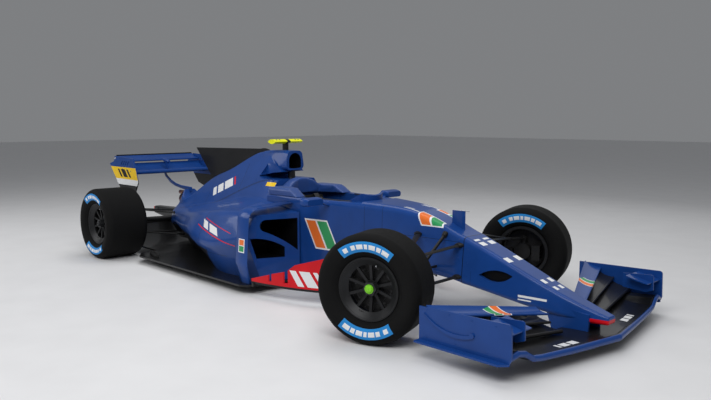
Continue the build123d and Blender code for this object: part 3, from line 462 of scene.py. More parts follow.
# Finishes used on pieces
GLOSS_WEAVE = ((0.0040, 0.0040, 0.0043), (0.0125, 0.0125, 0.0135), 0.32, 0.28)
SATIN_WEAVE = ((0.0050, 0.0050, 0.0053), (0.0145, 0.0145, 0.0152), 0.5, 0.08)
NUT_METAL = (0.03, 0.031, 0.034)
body_blue = blue_paint("deep_blue_lacquer")
gloss_carbon = carbon_weave("gloss_carbon_weave", *GLOSS_WEAVE)
matt_carbon = carbon_weave("satin_carbon_weave", *SATIN_WEAVE)
rubber = tyre_rubber()
rim_metal = metal("satin_rim_metal", (0.012, 0.0125, 0.014), 0.46, 0.5)
bright_metal = metal("machined_metal", (0.52, 0.53, 0.55), 0.3)
dark_metal = metal("dark_cast_metal", (0.055, 0.055, 0.058), 0.5, 0.8)
hot_pipe = heat_tint()
pad_skin = cover_skin("blue_headrest_cover", BLUE, 0.42)
seat_cloth = woven_web("dark_seat_cloth", (0.022, 0.023, 0.027))
belt_web = woven_web("black_belt_web", (0.014, 0.014, 0.016), 0.0022)
grip_rubber = cover_skin("moulded_grip_rubber", (0.012, 0.012, 0.013), 0.62)
tyre_blue = lacquer("tyre_band_blue", (0.022, 0.235, 0.60), (), 0.5, 0.1)
tyre_white = lacquer("tyre_mark_white", WHITE, (), 0.5, 0.1)
cap_finishes = {"front": lacquer("nut_cap_green", NUT_GREEN, (), 0.36),
                "rear": metal("nut_cap_dark", NUT_METAL, 0.4, 0.6)}
mirror_glass = clear_face("mirror_glass", (0.78, 0.80, 0.83), 0.03, 1.0)
lens_glass = clear_face("lens_glass", (0.01, 0.011, 0.014), 0.05, 0.0)
screen_glass = clear_face("screen_glass", (0.010, 0.022, 0.034), 0.08, 0.0, 0.3)
lamp_red = clear_face("red_lamp", (0.50, 0.010, 0.012), 0.12, 0.0, 0.15)
button_red = lacquer("button_red", RED, (), 0.4)
button_yellow = lacquer("button_yellow", YELLOW, (), 0.4)
button_green = lacquer("button_green", (0.05, 0.45, 0.09), (), 0.4)

NODE_FINISHES = {
    "nose_cone": blue_paint("nose_lacquer", NOSE_MARKS),
    "monocoque": blue_paint("tub_lacquer", TUB_MARKS),
    "engine_cover": blue_paint("cover_lacquer", COVER_MARKS),
    "sidepods": blue_paint("pod_lacquer", POD_MARKS),
    "pod_vanes": blue_paint("vane_lacquer", VANE_MARKS),
    "front_wing_flaps": blue_paint("flap_lacquer", FLAP_MARKS),
    "rear_wing_endplates": blue_paint("rear_plate_lacquer", REAR_PLATE_MARKS),
    "bargeboards": lacquer("board_red_lacquer", RED, BOARD_MARKS),
    "front_wing_main_plane": carbon_weave("main_plane_carbon", *GLOSS_WEAVE, MAIN_PLANE_MARKS),
    "camera_pod": lacquer("camera_yellow", (0.84, 0.86, 0.012), [(BLACK, (Y, 0, 0.018))]),
    "rain_light": lamp_red,
    "plank": skid_wood(),
    "exhaust": hot_pipe,
}
PLAIN_NODES = [
    (body_blue, ("nose_mast", "cockpit_cowl", "headrest", "front_wing_endplates", "front_wing_fences",
                 "nose_pylons", "rear_wing_main_plane", "rear_wing_flap", "rear_wing_pylon", "drs_actuator",
                 "mirrors")),
    (gloss_carbon, ("shark_fin", "floor", "diffuser", "rear_crash_structure")),
    (matt_carbon, ("seat", "steering_wheel", "front_wishbones", "rear_wishbones", "track_rods",
                   "rear_uprights", "front_upright_right", "front_upright_left")),
    (dark_metal, ("power_unit",)),
]
for finish, names in PLAIN_NODES:
    NODE_FINISHES.update({name: finish for name in names})
GREEN_DEPTH = 0.1
NUT_CAPS = [
    # end, side, direction out of the wheel, distance along it where green starts: a rear nut ends short of it
    ("front", "right", (0.34202, 0.93969, 0), 1.43355),
    ("front", "left", (-0.34202, 0.93969, 0), 0.35277),
    ("rear", "right", Y, 2.0),
    ("rear", "left", Y, 2.0),
]
for end, side, out, start in NUT_CAPS:
    NODE_FINISHES[f"tyre_{end}_{side}"] = rubber
    NODE_FINISHES[f"rim_{end}_{side}"] = rim_metal
    NODE_FINISHES[f"nut_{end}_{side}"] = metal(f"nut_{end}_{side}_anodised", NUT_METAL, 0.4, 0.5,
                                               [(NUT_GREEN, (out, start, start + GREEN_DEPTH))])
for name, finish in NODE_FINISHES.items():
    mesh = nodes[name].data
    mesh.materials.clear()
    mesh.materials.append(finish)


# Shape helpers
def finish_piece(name, bm, finish, body, sharp=35, recalc=True):
    """Makes a piece of a bmesh, with smooth faces and sharp edges kept, riding on a body."""
    if recalc:
        bmesh.ops.recalc_face_normals(bm, faces=bm.faces[:])
    mesh = bpy.data.meshes.new(name)
    bm.to_mesh(mesh)
    bm.free()
    return dress(name, mesh, finish, body, sharp)


def dress(name, mesh, finish, body, sharp=35):
    """Makes a piece of a mesh."""
    mesh.shade_smooth()
    mesh.set_sharp_from_angle(angle=math.radians(sharp))
    mesh.materials.clear()
    mesh.materials.append(finish)
    piece = bpy.data.objects.new(name, mesh)
    bpy.context.collection.objects.link(piece)
    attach(piece, body)
    return piece


def slab(bm, centre, size, edge=0.0015, turn=None, segments=2):
    """Box with rounded edges."""
    fit = Matrix.Translation(centre) @ (turn or Matrix.Identity(4)) @ Matrix.Diagonal((*size, 1))
    made = bmesh.ops.create_cube(bm, size=1.0, matrix=fit)["verts"]
    edges = list({e for v in made for e in v.link_edges})
    bmesh.ops.bevel(bm, geom=edges, offset=edge, affect="EDGES", segments=segments, profile=0.5, material=-1)


def stud(bm, spot, normal, radius, height, segments=12):
    """Fastener head with a dished face, seated on a surface."""
    turn = Vector(normal).to_track_quat("Z", "Y").to_matrix().to_4x4()
    place = Matrix.Translation(spot) @ turn
    made = bmesh.ops.create_cone(bm, cap_ends=True, segments=segments, radius1=radius, radius2=radius * 0.86,
                                 depth=height, matrix=place)["verts"]
    faces = {f for v in made for f in v.link_faces}
    top = max(faces, key=lambda f: f.calc_center_median().dot(Vector(normal)))
    bmesh.ops.inset_region(bm, faces=[top], thickness=radius * 0.3)
    bmesh.ops.translate(bm, vec=Vector(normal) * -0.4 * height, verts=top.verts[:])


def ring(bm, points, axis, centre, start=0.0, sweep=360.0, steps=48):
    """Closed chain of points spun about an axle."""
    verts = [bm.verts.new(p) for p in points]
    edges = [bm.edges.new(pair) for pair in zip(verts, verts[1:] + verts[:1])]
    first_turn = Matrix.Rotation(math.radians(start), 3, Vector(axis))
    bmesh.ops.rotate(bm, cent=centre, matrix=first_turn, verts=verts)
    bmesh.ops.spin(bm, geom=verts + edges, cent=centre, axis=axis, angle=math.radians(sweep), steps=steps,
                   use_merge=sweep == 360.0)


def ribbon(bm, points, width, thickness):
    """Flat strap along points; width is a vector across it."""
    points = [Vector(p) for p in points]
    width = Vector(width)
    ends = [bm.verts.new(points[0] - width / 2), bm.verts.new(points[0] + width / 2)]
    edge = bm.edges.new(ends)
    faces = []
    for here, there in zip(points, points[1:]):
        grown = bmesh.ops.extrude_edge_only(bm, edges=[edge])["geom"]
        verts = [g for g in grown if isinstance(g, bmesh.types.BMVert)]
        faces += [g for g in grown if isinstance(g, bmesh.types.BMFace)]
        bmesh.ops.translate(bm, vec=there - here, verts=verts)
        edge = next(e for e in verts[0].link_edges if e.other_vert(verts[0]) is verts[1])
    bmesh.ops.solidify(bm, geom=faces, thickness=thickness)


def pipe(name, points, radius, finish, body, smooth=True):
    """Round bar or tube along points."""
    line = bpy.data.curves.new(name, "CURVE")
    line.dimensions = "3D"
    line.bevel_depth = radius
    line.bevel_resolution = 3
    line.use_fill_caps = True
    run = line.splines.new("NURBS" if smooth else "POLY")
    run.points.add(len(points) - 1)
    for control, place in zip(run.points, points):
        control.co = (*place, 1.0)
    if smooth:
        run.order_u = 3
        run.use_endpoint_u = True
    holder = bpy.data.objects.new(name, line)
    mesh = bpy.data.meshes.new_from_object(holder)
    bpy.data.objects.remove(holder)
    bpy.data.curves.remove(line)
    return dress(name, mesh, finish, body, 50)


def skin_of(name):
    """Search tree of a node's surface, for seating pieces on it."""
    mesh = nodes[name].data
    mesh.calc_loop_triangles()
    return BVHTree.FromPolygons([v.co for v in mesh.vertices], [t.vertices for t in mesh.loop_triangles])


def seat_on(skin, start, direction):
    """Point and normal where a straight line meets a surface."""
    spot, normal, _, _ = skin.ray_cast(Vector(start), Vector(direction).normalized())
    return spot, normal


def copied(name):
    """Copy of a node's surface, its triangles joined."""
    bm = bmesh.new()
    bm.from_mesh(nodes[name].data)
    bmesh.ops.remove_doubles(bm, verts=bm.verts[:], dist=0.00002)
    return bm


def whole(bm):
    """Every vertex, edge and face."""
    return bm.verts[:] + bm.edges[:] + bm.faces[:]


def trimmed(bm, place, away, ahead_of=None):
    """Cuts off what lies beyond a plane, all along or only ahead of an x, and closes the cut."""
    geom = whole(bm)
    if ahead_of is not None:
        bmesh.ops.bisect_plane(bm, geom=geom, plane_co=(ahead_of, 0, 0), plane_no=X)
        back = ahead_of - 0.00001
        geom = [v for v in bm.verts if v.co.x > back]
        geom += [g for kind in (bm.edges, bm.faces) for g in kind if all(v.co.x > back for v in g.verts)]
    bmesh.ops.bisect_plane(bm, geom=geom, plane_co=place, plane_no=away, clear_outer=True)
    bmesh.ops.holes_fill(bm, edges=[e for e in bm.edges if e.is_boundary], sides=0)


def side_form(outline, y_low, y_high):
    """Closed plate with an outline in x and z, between two values of y."""
    bm = bmesh.new()
    face = bm.faces.new([bm.verts.new((x, y_low, z)) for x, z in outline])
    grown = bmesh.ops.extrude_face_region(bm, geom=[face])["geom"]
    far_verts = [g for g in grown if isinstance(g, bmesh.types.BMVert)]
    bmesh.ops.translate(bm, vec=(0, y_high - y_low, 0), verts=far_verts)
    bmesh.ops.recalc_face_normals(bm, faces=bm.faces[:])
    return bm


def cut_out(bm, *tools):
    """Takes closed shapes away from another."""
    holders = []
    for form in (bm, *tools):
        mesh = bpy.data.meshes.new("form")
        form.to_mesh(mesh)
        form.free()
        holders.append(bpy.data.objects.new("form", mesh))
        bpy.context.collection.objects.link(holders[-1])
    for tool in holders[1:]:
        cut = holders[0].modifiers.new("cut", "BOOLEAN")
        cut.operation = "DIFFERENCE"
        cut.solver = "EXACT"
        cut.object = tool
    bpy.context.view_layer.update()
    graph = bpy.context.evaluated_depsgraph_get()
    result = bmesh.new()
    result.from_mesh(bpy.data.meshes.new_from_object(holders[0].evaluated_get(graph)))
    for holder in holders:
        bpy.data.objects.remove(holder)
    return result


def mirrored(sign, point):
    """Point on the right, sign -1, or on the left, sign 1, of one given for the left."""
    return Vector((point[0], sign * point[1], point[2]))


# Wheels: shapes drawn straight ahead from distance outboard and radius, then turned to rest
def wheel_place(end, side):
    """Side's sign, middle of the axle, and turn from straight ahead to rest."""
    sign = SIDES[side]
    axle = Vector((FRONT_AXLE_X if end == "front" else REAR_AXLE_X, 0, AXLE_Z))
    turn = Matrix.Identity(4)
    if end == "front":
        pin = Vector((axle.x, sign * KINGPIN_Y, 0))
        turn = Matrix.Translation(pin) @ Matrix.Rotation(STEER_AT_REST, 4, "Z") @ Matrix.Translation(-pin)
    return sign, axle, turn


def wheel_ring(bm, sign, axle, profile, start=0.0, sweep=360.0, steps=64):
    """Closed profile spun about the axle, its ends filled where it stops short of a full turn."""
    points = [(axle.x, sign * out, axle.z + radius) for out, radius in profile]
    ring(bm, points, Y, axle, start, sweep, steps)
    if sweep != 360.0:
        bmesh.ops.holes_fill(bm, edges=[e for e in bm.edges if e.is_boundary], sides=0)


def wheel_spot(sign, axle, out, radius, degrees):
    """Point on a wheel at an angle from the top, forwards positive."""
    turn = math.radians(degrees)
    return Vector((axle.x + radius * math.sin(turn), sign * out, axle.z + radius * math.cos(turn)))


SIDEWALL_CROWN = 0.280
OUTER_BEND = 0.055
INNER_BEND = 0.1015
STRIP_SINK = 0.0003


def sidewall_inset(radius):
    """How far inside the wheel's face the tyre's side lies at a radius."""
    bend = OUTER_BEND if radius > SIDEWALL_CROWN else INNER_BEND
    return bend - math.sqrt(bend ** 2 - (radius - SIDEWALL_CROWN) ** 2)


def sidewall_strip(low, high, proud, face, way):
    """Closed profile of a thin strip laid on the tyre's outer side, way 1, or its inner side, way -1."""
    radii = [low + (high - low) * step / 8 for step in range(9)]
    over = [(face + way * (proud - sidewall_inset(r)), r) for r in radii]
    under = [(face - way * (sidewall_inset(r) + STRIP_SINK), r) for r in reversed(radii)]
    return over + under


# Strips on the tyre's sides: lowest and highest radius, height above the rubber
BAND = (0.229, 0.292, 0.0006)
DASH = (0.247, 0.275, 0.0011)
RIBS = [(0.2215, 0.2232, 0.0009), (0.3005, 0.3022, 0.0009), (0.2065, 0.2076, 0.0009)]
BAND_SWEEP = 76.0
# Start and sweep of each dash, in degrees from the middle of its band
DASHES = [(-33.0, 6.5), (-21.0, 6.0), (-13.0, 9.0), (-2.0, 4.5), (4.5, 9.0), (15.5, 6.0), (23.5, 10.0)]


def dress_tyre(end, side):
    """Coloured bands with dashes, and moulded ribs, on both sides of a tyre."""
    sign, axle, turn = wheel_place(end, side)
    body = f"wheel_{end}_{side}"
    bands = bmesh.new()
    dashes = bmesh.new()
    ribs = bmesh.new()
    for face in ((WHEEL_FACE_Y, 1), (WHEEL_FACE_Y - TYRE_WIDTHS[end], -1)):
        band, dash = sidewall_strip(*BAND, *face), sidewall_strip(*DASH, *face)
        for around in (0.0, 180.0):
            wheel_ring(bands, sign, axle, band, around - BAND_SWEEP / 2, BAND_SWEEP, 26)
            for start, sweep in DASHES:
                wheel_ring(dashes, sign, axle, dash, around + start, sweep, 4)
        for rib in RIBS:
            wheel_ring(ribs, sign, axle, sidewall_strip(*rib, *face))
    rows = ((bands, "bands", tyre_blue), (dashes, "dashes", tyre_white), (ribs, "ribs", rubber))
    for bm, name, finish in rows:
        bm.transform(turn)
        finish_piece(f"tyre_{name}_{end}_{side}", bm, finish, body)


# Profiles of the rim's lip and the nut's cap: distance outboard, radius
LIP = [(0.9612, 0.1862), (0.9627, 0.1868), (0.9629, 0.1890), (0.9627, 0.1912), (0.9612, 0.1918)]
CAP = [(0.9475, 0.0015), (0.9475, 0.0230), (0.9515, 0.0224), (0.9548, 0.0197), (0.9570, 0.0145),
       (0.9581, 0.0080), (0.9584, 0.0015)]
# Places on a wheel: distance outboard, radius, degrees from the top
VALVE_SPOT = (0.939, 0.150, 18.0)
CAP_TIP_SPOT = (0.9579, 0.0, 0.0)
WEIGHT_SPOTS = [(0.9345, 0.1505, degrees) for degrees in (196, 201, 206)]
WEIGHT_SIZE = (0.009, 0.007, 0.004)
# Round heads: radius, height
VALVE_STEM = (0.0042, 0.022)
VALVE_CAP = (0.0054, 0.007)
VALVE_CAP_RISE = 0.010
CAP_TIP = (0.0045, 0.0030)


def dress_rim(end, side):
    """Lip, valve, balance weights and nut cap."""
    sign, axle, turn = wheel_place(end, side)
    lip = bmesh.new()
    wheel_ring(lip, sign, axle, LIP, steps=96)
    valve = bmesh.new()
    outwards = Vector((0, sign, 0))
    base = wheel_spot(sign, axle, *VALVE_SPOT)
    stud(valve, base, outwards, *VALVE_STEM)
    stud(valve, base + outwards * VALVE_CAP_RISE, outwards, *VALVE_CAP)
    weights = bmesh.new()
    for place in WEIGHT_SPOTS:
        turn_in = Matrix.Rotation(math.radians(place[2]), 4, "Y")
        slab(weights, wheel_spot(sign, axle, *place), WEIGHT_SIZE, 0.0008, turn_in)
    cap = bmesh.new()
    wheel_ring(cap, sign, axle, CAP, steps=40)
    stud(cap, wheel_spot(sign, axle, *CAP_TIP_SPOT), outwards, *CAP_TIP)
    rows = ((lip, "lip", rim_metal, "metal_bare"), (valve, "valve", bright_metal, "metal_bare"),
            (weights, "weights", dark_metal, "metal_bare"), (cap, "cap", cap_finishes[end], "nut_green"))
    for bm, name, finish, slot in rows:
        bm.transform(turn)
        finish_piece(f"wheel_{name}_{end}_{side}", bm, finish, f"wheel_{end}_{side}")


# Raised rings of the brake cover: inner and outer radius, and their foot, crown and chamfer
COVER_RINGS = [(0.1440, 0.1495), (0.0980, 0.1005), (0.0560, 0.0600)]
RING_FOOT_Y = DRUM_FACE_Y - 0.0005
RING_CROWN_Y = DRUM_FACE_Y + 0.0022
RING_CHAMFER = 0.0008
COVER_STUDS = 16
COVER_STUD = (0.0045, 0.0026)
COVER_SLATS = 8
SLAT_SIZE = (0.034, 0.0022, 0.010)
SLAT_START = 11


def dress_brake(end, side):
    """Cover of the brake drum seen between the spokes."""
    sign, axle, turn = wheel_place(end, side)
    bm = bmesh.new()
    for low, high in COVER_RINGS:
        wheel_ring(bm, sign, axle, [(RING_FOOT_Y, low), (RING_CROWN_Y, low + RING_CHAMFER),
                                    (RING_CROWN_Y, high - RING_CHAMFER), (RING_FOOT_Y, high)])
    for index in range(COVER_STUDS):
        spot = wheel_spot(sign, axle, DRUM_FACE_Y + 0.001, 0.135, index * 360 / COVER_STUDS)
        stud(bm, spot, (0, sign, 0), *COVER_STUD)
    for index in range(COVER_SLATS):
        degrees = index * 360 / COVER_SLATS + SLAT_START
        spot = wheel_spot(sign, axle, DRUM_FACE_Y + 0.0006, 0.117, degrees)
        slab(bm, spot, SLAT_SIZE, 0.0008, Matrix.Rotation(math.radians(degrees), 4, "Y"))
    bm.transform(turn)
    body = f"knuckle_{side}" if end == "front" else "chassis"
    finish_piece(f"brake_cover_{end}_{side}", bm, dark_metal, body)


for end in ("front", "rear"):
    for side in SIDES:
        dress_tyre(end, side)
        dress_rim(end, side)
        dress_brake(end, side)


# Bodywork shaped more closely than its solids
# Outlines in x and z, and planes by a point and the direction of what is cut away
HOOP_SLOT = [(-0.12, 0.822), (-0.12, 0.896), (-0.35, 0.873), (-0.48, 0.846), (-0.42, 0.822)]
HOOP_SIDE = [(-0.12, 0.822), (-0.12, 1.2), (-0.30, 1.2), (-0.46, 0.86), (-0.42, 0.822)]
HOOP_HALF_WIDTH = 0.1195
CUT_REACH_Y = 0.30
HOOP_STRUT_CENTRE = (-0.245, 0, 0.858)
HOOP_STRUT_RADII = (0.045, 0.016)
HOOP_STRUT_HEIGHT = 0.090
WING_STRUT = [(-1.890, 0.590), (-1.890, 0.634), (-2.000, 0.637), (-2.110, 0.640), (-2.210, 0.655),
              (-2.300, 0.682), (-2.390, 0.728), (-2.465, 0.812), (-2.500, 0.839), (-2.420, 0.715),
              (-2.320, 0.655), (-2.220, 0.624), (-2.110, 0.608), (-1.960, 0.590)]
WING_STRUT_HALF = 0.008
WING_STRUT_EDGE = 0.005
FIN_RAKE = ((-1.758, 0, 1.034), (-0.714, 0, -0.700))
LIP_SLOPES = [((0.748, 0, 0.780), (-0.543, 0, 0.840)), ((0.688, 0, 0.785), (0.3145, 0, 0.949))]
VANE_BREADTH = 1.34


def shape_cover():
    """Engine cover with open space between the roll hoop's airbox and the body, and the strut in it."""
    right_side = side_form(HOOP_SIDE, -CUT_REACH_Y, -HOOP_HALF_WIDTH)
    left_side = side_form(HOOP_SIDE, HOOP_HALF_WIDTH, CUT_REACH_Y)
    slot = side_form(HOOP_SLOT, -CUT_REACH_Y, CUT_REACH_Y)
    bm = cut_out(copied("engine_cover"), slot, right_side, left_side)
    paint = NODE_FINISHES["engine_cover"]
    cover = finish_piece("engine_cover_skin", bm, paint, "chassis", 12, recalc=False)
    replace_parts(cover, "engine_cover")
    bm = bmesh.new()
    fit = Matrix.Translation(HOOP_STRUT_CENTRE) @ Matrix.Diagonal((*HOOP_STRUT_RADII, 1, 1))
    bmesh.ops.create_cone(bm, cap_ends=True, segments=32, radius1=1.0, radius2=1.0, depth=HOOP_STRUT_HEIGHT,
                          matrix=fit)
    finish_piece("roll_hoop_strut", bm, gloss_carbon, "chassis")


def shape_tail():
    """Fin with its raked end, and the strut that carries the rear wing from below."""
    bm = copied("shark_fin")
    trimmed(bm, *FIN_RAKE)
    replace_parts(finish_piece("raked_fin", bm, gloss_carbon, "chassis", 4), "shark_fin")
    bm = side_form(WING_STRUT, -WING_STRUT_HALF, WING_STRUT_HALF)
    long_edges = [e for e in bm.edges if abs(e.verts[0].co.y - e.verts[1].co.y) < 0.001]
    bmesh.ops.bevel(bm, geom=long_edges, offset=WING_STRUT_EDGE, affect="EDGES", segments=3, profile=0.5,
                    material=-1)
    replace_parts(finish_piece("wing_strut", bm, body_blue, "chassis"), "rear_wing_pylon")


def shape_cowl():
    """Cockpit cowl with its top sloped to the front and the back."""
    bm = copied("cockpit_cowl")
    for slope in LIP_SLOPES:
        trimmed(bm, *slope)
    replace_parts(finish_piece("cockpit_lip", bm, body_blue, "chassis"), "cockpit_cowl")


def shape_vanes():
    """Pod vanes with broad blades."""
    low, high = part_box("pod_vanes")
    bm = copied("pod_vanes")
    middle = Matrix.Translation((-(low[0] + high[0]) / 2, 0, 0))
    bmesh.ops.scale(bm, vec=(VANE_BREADTH, 1, 1), space=middle, verts=bm.verts[:])
    paint = NODE_FINISHES["pod_vanes"]
    vanes = finish_piece("broad_pod_vanes", bm, paint, "chassis", recalc=False)
    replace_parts(vanes, "pod_vanes")


shape_cover()
shape_vanes()
shape_tail()
shape_cowl()


# Bodywork fittings
FASTENER_RADIUS = 0.0058
FASTENER_HEIGHT = 0.0020
FASTENER_LIFT = 0.0004
INWARDS = (0, -1, 0)
DOWN = (0, 0, -1)


def fit_fasteners():
    """Quarter turn fasteners along the seams of the panels, seated from outside."""
    plate_spots = [(-2.27, 0.80), (-2.36, 0.806), (-2.45, 0.822), (-2.26, 0.916), (-2.52, 0.925)]
    rows = [
        ("nose_cone", [((1.735, 2, z), INWARDS) for z in (0.30, 0.39, 0.48)]),
        ("monocoque", [((1.662, 2, z), INWARDS) for z in (0.30, 0.42, 0.54)]
         + [((x, 2, 0.505), INWARDS) for x in (1.10, 1.25, 1.40, 1.55)]),
        ("engine_cover", [((x, 0.190, 2), DOWN) for x in (-0.50, -0.95, -1.20, -1.50, -1.80)]
         + [((-0.772, 2, z), INWARDS) for z in (0.66, 0.76, 0.86)]),
        ("sidepods", [((x, 0.236, 2), DOWN) for x in (-0.36, -0.66, -0.96, -1.26, -1.56)]
         + [((x, 2, 0.262), INWARDS) for x in (-0.25, -0.50, -0.75, -1.00, -1.25)]
         + [((-0.575, y, 2), DOWN) for y in (0.40, 0.52)]),
        ("front_wing_endplates", [((x, 2, 0.288), INWARDS) for x in (2.05, 2.20, 2.35, 2.50)]
         + [((x, 2, 0.135), INWARDS) for x in (2.05, 2.25, 2.45)]),
        ("rear_wing_endplates", [((x, 2, z), INWARDS) for x, z in plate_spots]),
        ("floor", [((x, 0.786, 2), DOWN) for x in (-0.05, -0.30, -0.55, -0.80, -1.05, -1.30)]),
        ("rear_crash_structure", [((x, 2, 0.33), INWARDS) for x in (-2.10, -2.25, -2.40)]),
    ]
    painted_heads, bare_heads = bmesh.new(), bmesh.new()
    for node, spots in rows:
        skin = skin_of(node)
        bm = bare_heads if node in ("floor", "rear_crash_structure") else painted_heads
        for start, direction in spots:
            for sign in SIDES.values():
                spot, normal = seat_on(skin, mirrored(sign, start), mirrored(sign, direction))
                if spot is not None:
                    stud(bm, spot + normal * FASTENER_LIFT, normal, FASTENER_RADIUS, FASTENER_HEIGHT)
    finish_piece("panel_fasteners", painted_heads, body_blue, "chassis")
    finish_piece("floor_fasteners", bare_heads, dark_metal, "chassis")


CORE_CENTRE = (-0.233, 0.470, 0.430)
CORE_SIZE = (0.26, 0.28)
CORE_WIRE = 0.0022
CORE_EDGES = [
    # point on the edge, direction out of the duct
    ((0, 0.336, 0.310), (0, 0.62, -0.785)),
    ((0, 0.450, 0.398), (0, 0.47, -0.883)),
    ((0, 0.583, 0.470), (0, 0.97, -0.23)),
    ((0, 0.604, 0.520), (0, 1, 0.12)),
    ((0, 0.336, 0.5), (0, -1, 0)),
    ((0, 0.5, 0.556), (0, 0, 1)),
]


def fit_radiators():
    """Meshed cores at the back of the inlet ducts."""
    for side, sign in SIDES.items():
        bm = bmesh.new()
        turn = Matrix.Translation(CORE_CENTRE) @ Matrix.Rotation(math.radians(90), 4, "Y")
        fit = turn @ Matrix.Diagonal((*CORE_SIZE, 1, 1))
        bmesh.ops.create_grid(bm, x_segments=26, y_segments=28, size=0.5, matrix=fit)
        for place, away in CORE_EDGES:
            bmesh.ops.bisect_plane(bm, geom=whole(bm), plane_co=place, plane_no=away, clear_outer=True)
        bmesh.ops.wireframe(bm, faces=bm.faces[:], thickness=CORE_WIRE, use_replace=True, use_boundary=True,
                            use_even_offset=True)
        bm.transform(Matrix.Diagonal((1, sign, 1, 1)))
        finish_piece(f"radiator_mesh_{side}", bm, bright_metal, "chassis")


LOUVRE_ROWS_X = (-0.070, -0.100, -0.130, -0.160)
LOUVRE_LINE_Y = (0.37, 0.42, 0.47, 0.52, 0.57)
LOUVRE_LIFT = 0.003
LOUVRE_WIDTH = (-0.016, 0, 0.006)
LOUVRE_THICKNESS = 0.0018


def fit_louvres():
    """Slats on the shoulders of the pods."""
    skin = skin_of("sidepods")
    for side, sign in SIDES.items():
        bm = bmesh.new()
        for x in LOUVRE_ROWS_X:
            line = []
            for y in LOUVRE_LINE_Y:
                spot, normal = seat_on(skin, (x, sign * y, 2), DOWN)
                line.append(spot + normal * LOUVRE_LIFT)
            ribbon(bm, line, LOUVRE_WIDTH, LOUVRE_THICKNESS)
        finish_piece(f"pod_louvres_{side}", bm, body_blue, "chassis")


UPPER_ARM_END = (1.580, 0.590, 0.448)
LOWER_ARM_END = (1.580, 0.590, 0.246)
PUSH_ROD_END = (1.580, 0.580, 0.246)
ARM_COLLAR = (0.066, 0.034)
ROD_COLLAR = (0.044, 0.040)
FRONT_LEGS = [
    # outer end, inner end, chord and thickness of the collar
    (UPPER_ARM_END, (1.666, 0.126, 0.500), ARM_COLLAR),
    (UPPER_ARM_END, (1.330, 0.148, 0.540), ARM_COLLAR),
    (LOWER_ARM_END, (1.666, 0.134, 0.290), ARM_COLLAR),
    (LOWER_ARM_END, (1.280, 0.150, 0.320), ARM_COLLAR),
    (PUSH_ROD_END, (1.550, 0.118, 0.566), ROD_COLLAR),
]
COLLAR_LENGTH = 0.030
COLLAR_STAND_OFF = 0.006


def fit_arm_collars():
    """Shrouds where the front arms and push rods enter the tub."""
    skin = skin_of("monocoque")
    bm = bmesh.new()
    for outer, inner, collar in FRONT_LEGS:
        for sign in SIDES.values():
            start, stop = mirrored(sign, outer), mirrored(sign, inner)
            run = (stop - start).normalized()
            spot, _ = seat_on(skin, start, run)
            if spot is None:
                continue
            along = (Vector(X) - run * run.x).normalized()
            turn = Matrix((along, run.cross(along), run)).transposed().to_4x4()
            place = Matrix.Translation(spot - run * COLLAR_STAND_OFF) @ turn
            fit = place @ Matrix.Diagonal((*collar, COLLAR_LENGTH, 1))
            bmesh.ops.create_cone(bm, cap_ends=True, segments=28, radius1=0.39, radius2=0.52, depth=1.0,
                                  matrix=fit)
    finish_piece("arm_collars", bm, matt_carbon, "chassis")


FLAP_INNER_Y = 0.225
FLAP_OUTER_Y = 0.890
FLAP_GAPS = [
    # lower tail and upper nose at the inner end, then at the outer end, each in x and z
    ((2.328, 0.142), (2.420, 0.154), (2.230, 0.200), (2.260, 0.216)),
    ((2.302, 0.186), (2.402, 0.200), (2.134, 0.254), (2.160, 0.270)),
]
SEPARATOR_SHARES = (0.18, 0.42, 0.66, 0.88)
SEPARATOR_SIZE = (0.034, 0.0022, 0.024)
ADJUSTER_SPOTS = [(2.325, 0.158), (2.335, 0.199)]
ADJUSTER_Y = 0.2245
ADJUSTER = (0.007, 0.006)


def fit_front_wing():
    """Small plates that hold the flaps apart, and the adjusters at their inner ends."""
    bm = bmesh.new()
    for tail_in, nose_in, tail_out, nose_out in FLAP_GAPS:
        for share in SEPARATOR_SHARES:
            y = FLAP_INNER_Y + (FLAP_OUTER_Y - FLAP_INNER_Y) * share
            tail = Vector(tail_in).lerp(Vector(tail_out), share)
            nose = Vector(nose_in).lerp(Vector(nose_out), share)
            centre = (tail + nose) / 2
            for sign in SIDES.values():
                slab(bm, (centre.x, sign * y, centre.y), SEPARATOR_SIZE, 0.0007)
    finish_piece("flap_separators", bm, matt_carbon, "chassis")
    bm = bmesh.new()
    for sign in SIDES.values():
        for x, z in ADJUSTER_SPOTS:
            stud(bm, (x, sign * ADJUSTER_Y, z), (0, -sign, 0), *ADJUSTER)
    finish_piece("flap_adjusters", bm, bright_metal, "chassis")


# Edge strips: centre, size, rounding
REAR_FLAP_EDGE = ((-2.6345, 0, 0.9495), (0.0025, 0.904, 0.013), 0.0006)
DIFFUSER_EDGE = ((-2.3775, 0, 0.2410), (0.004, 1.084, 0.013), 0.001)
FLAP_PIN = (-2.610, 0.4785, 0.922)
FLAP_PIN_CAP = (0.011, 0.004)
FIRST_LAMP = (-2.6345, -0.025, 0.323)
LAMP_ROWS = 4
LAMP_COLUMNS = 6
LAMP_STEP_Y = 0.010
LAMP_STEP_Z = 0.0115
LAMP_RADIUS = 0.0038
EXHAUST_END = Vector((-2.06, 0, 0.506))
EXHAUST_AXIS = (-1, 0, 0.054)
# Profiles of the pipes: x, radius
EXHAUST_LIP = [(-2.0605, 0.0525), (-2.0635, 0.0500), (-2.0605, 0.0475)]
WASTE_PIPE = [(-1.985, 0.020), (-2.052, 0.020), (-2.054, 0.0185), (-2.052, 0.017), (-1.985, 0.017)]
WASTE_PIPE_CENTRE = (0, 0.040, 0.577)
FIRST_FLOOR_FIN = (-1.300, 0.735, 0.092)
FLOOR_FIN_STEP = (-0.048, -0.012, 0)
FLOOR_FIN_SIZE = (0.070, 0.0026, 0.036)
FLOOR_FIN_TURN = math.radians(14)
FLOOR_FIN_COUNT = 4


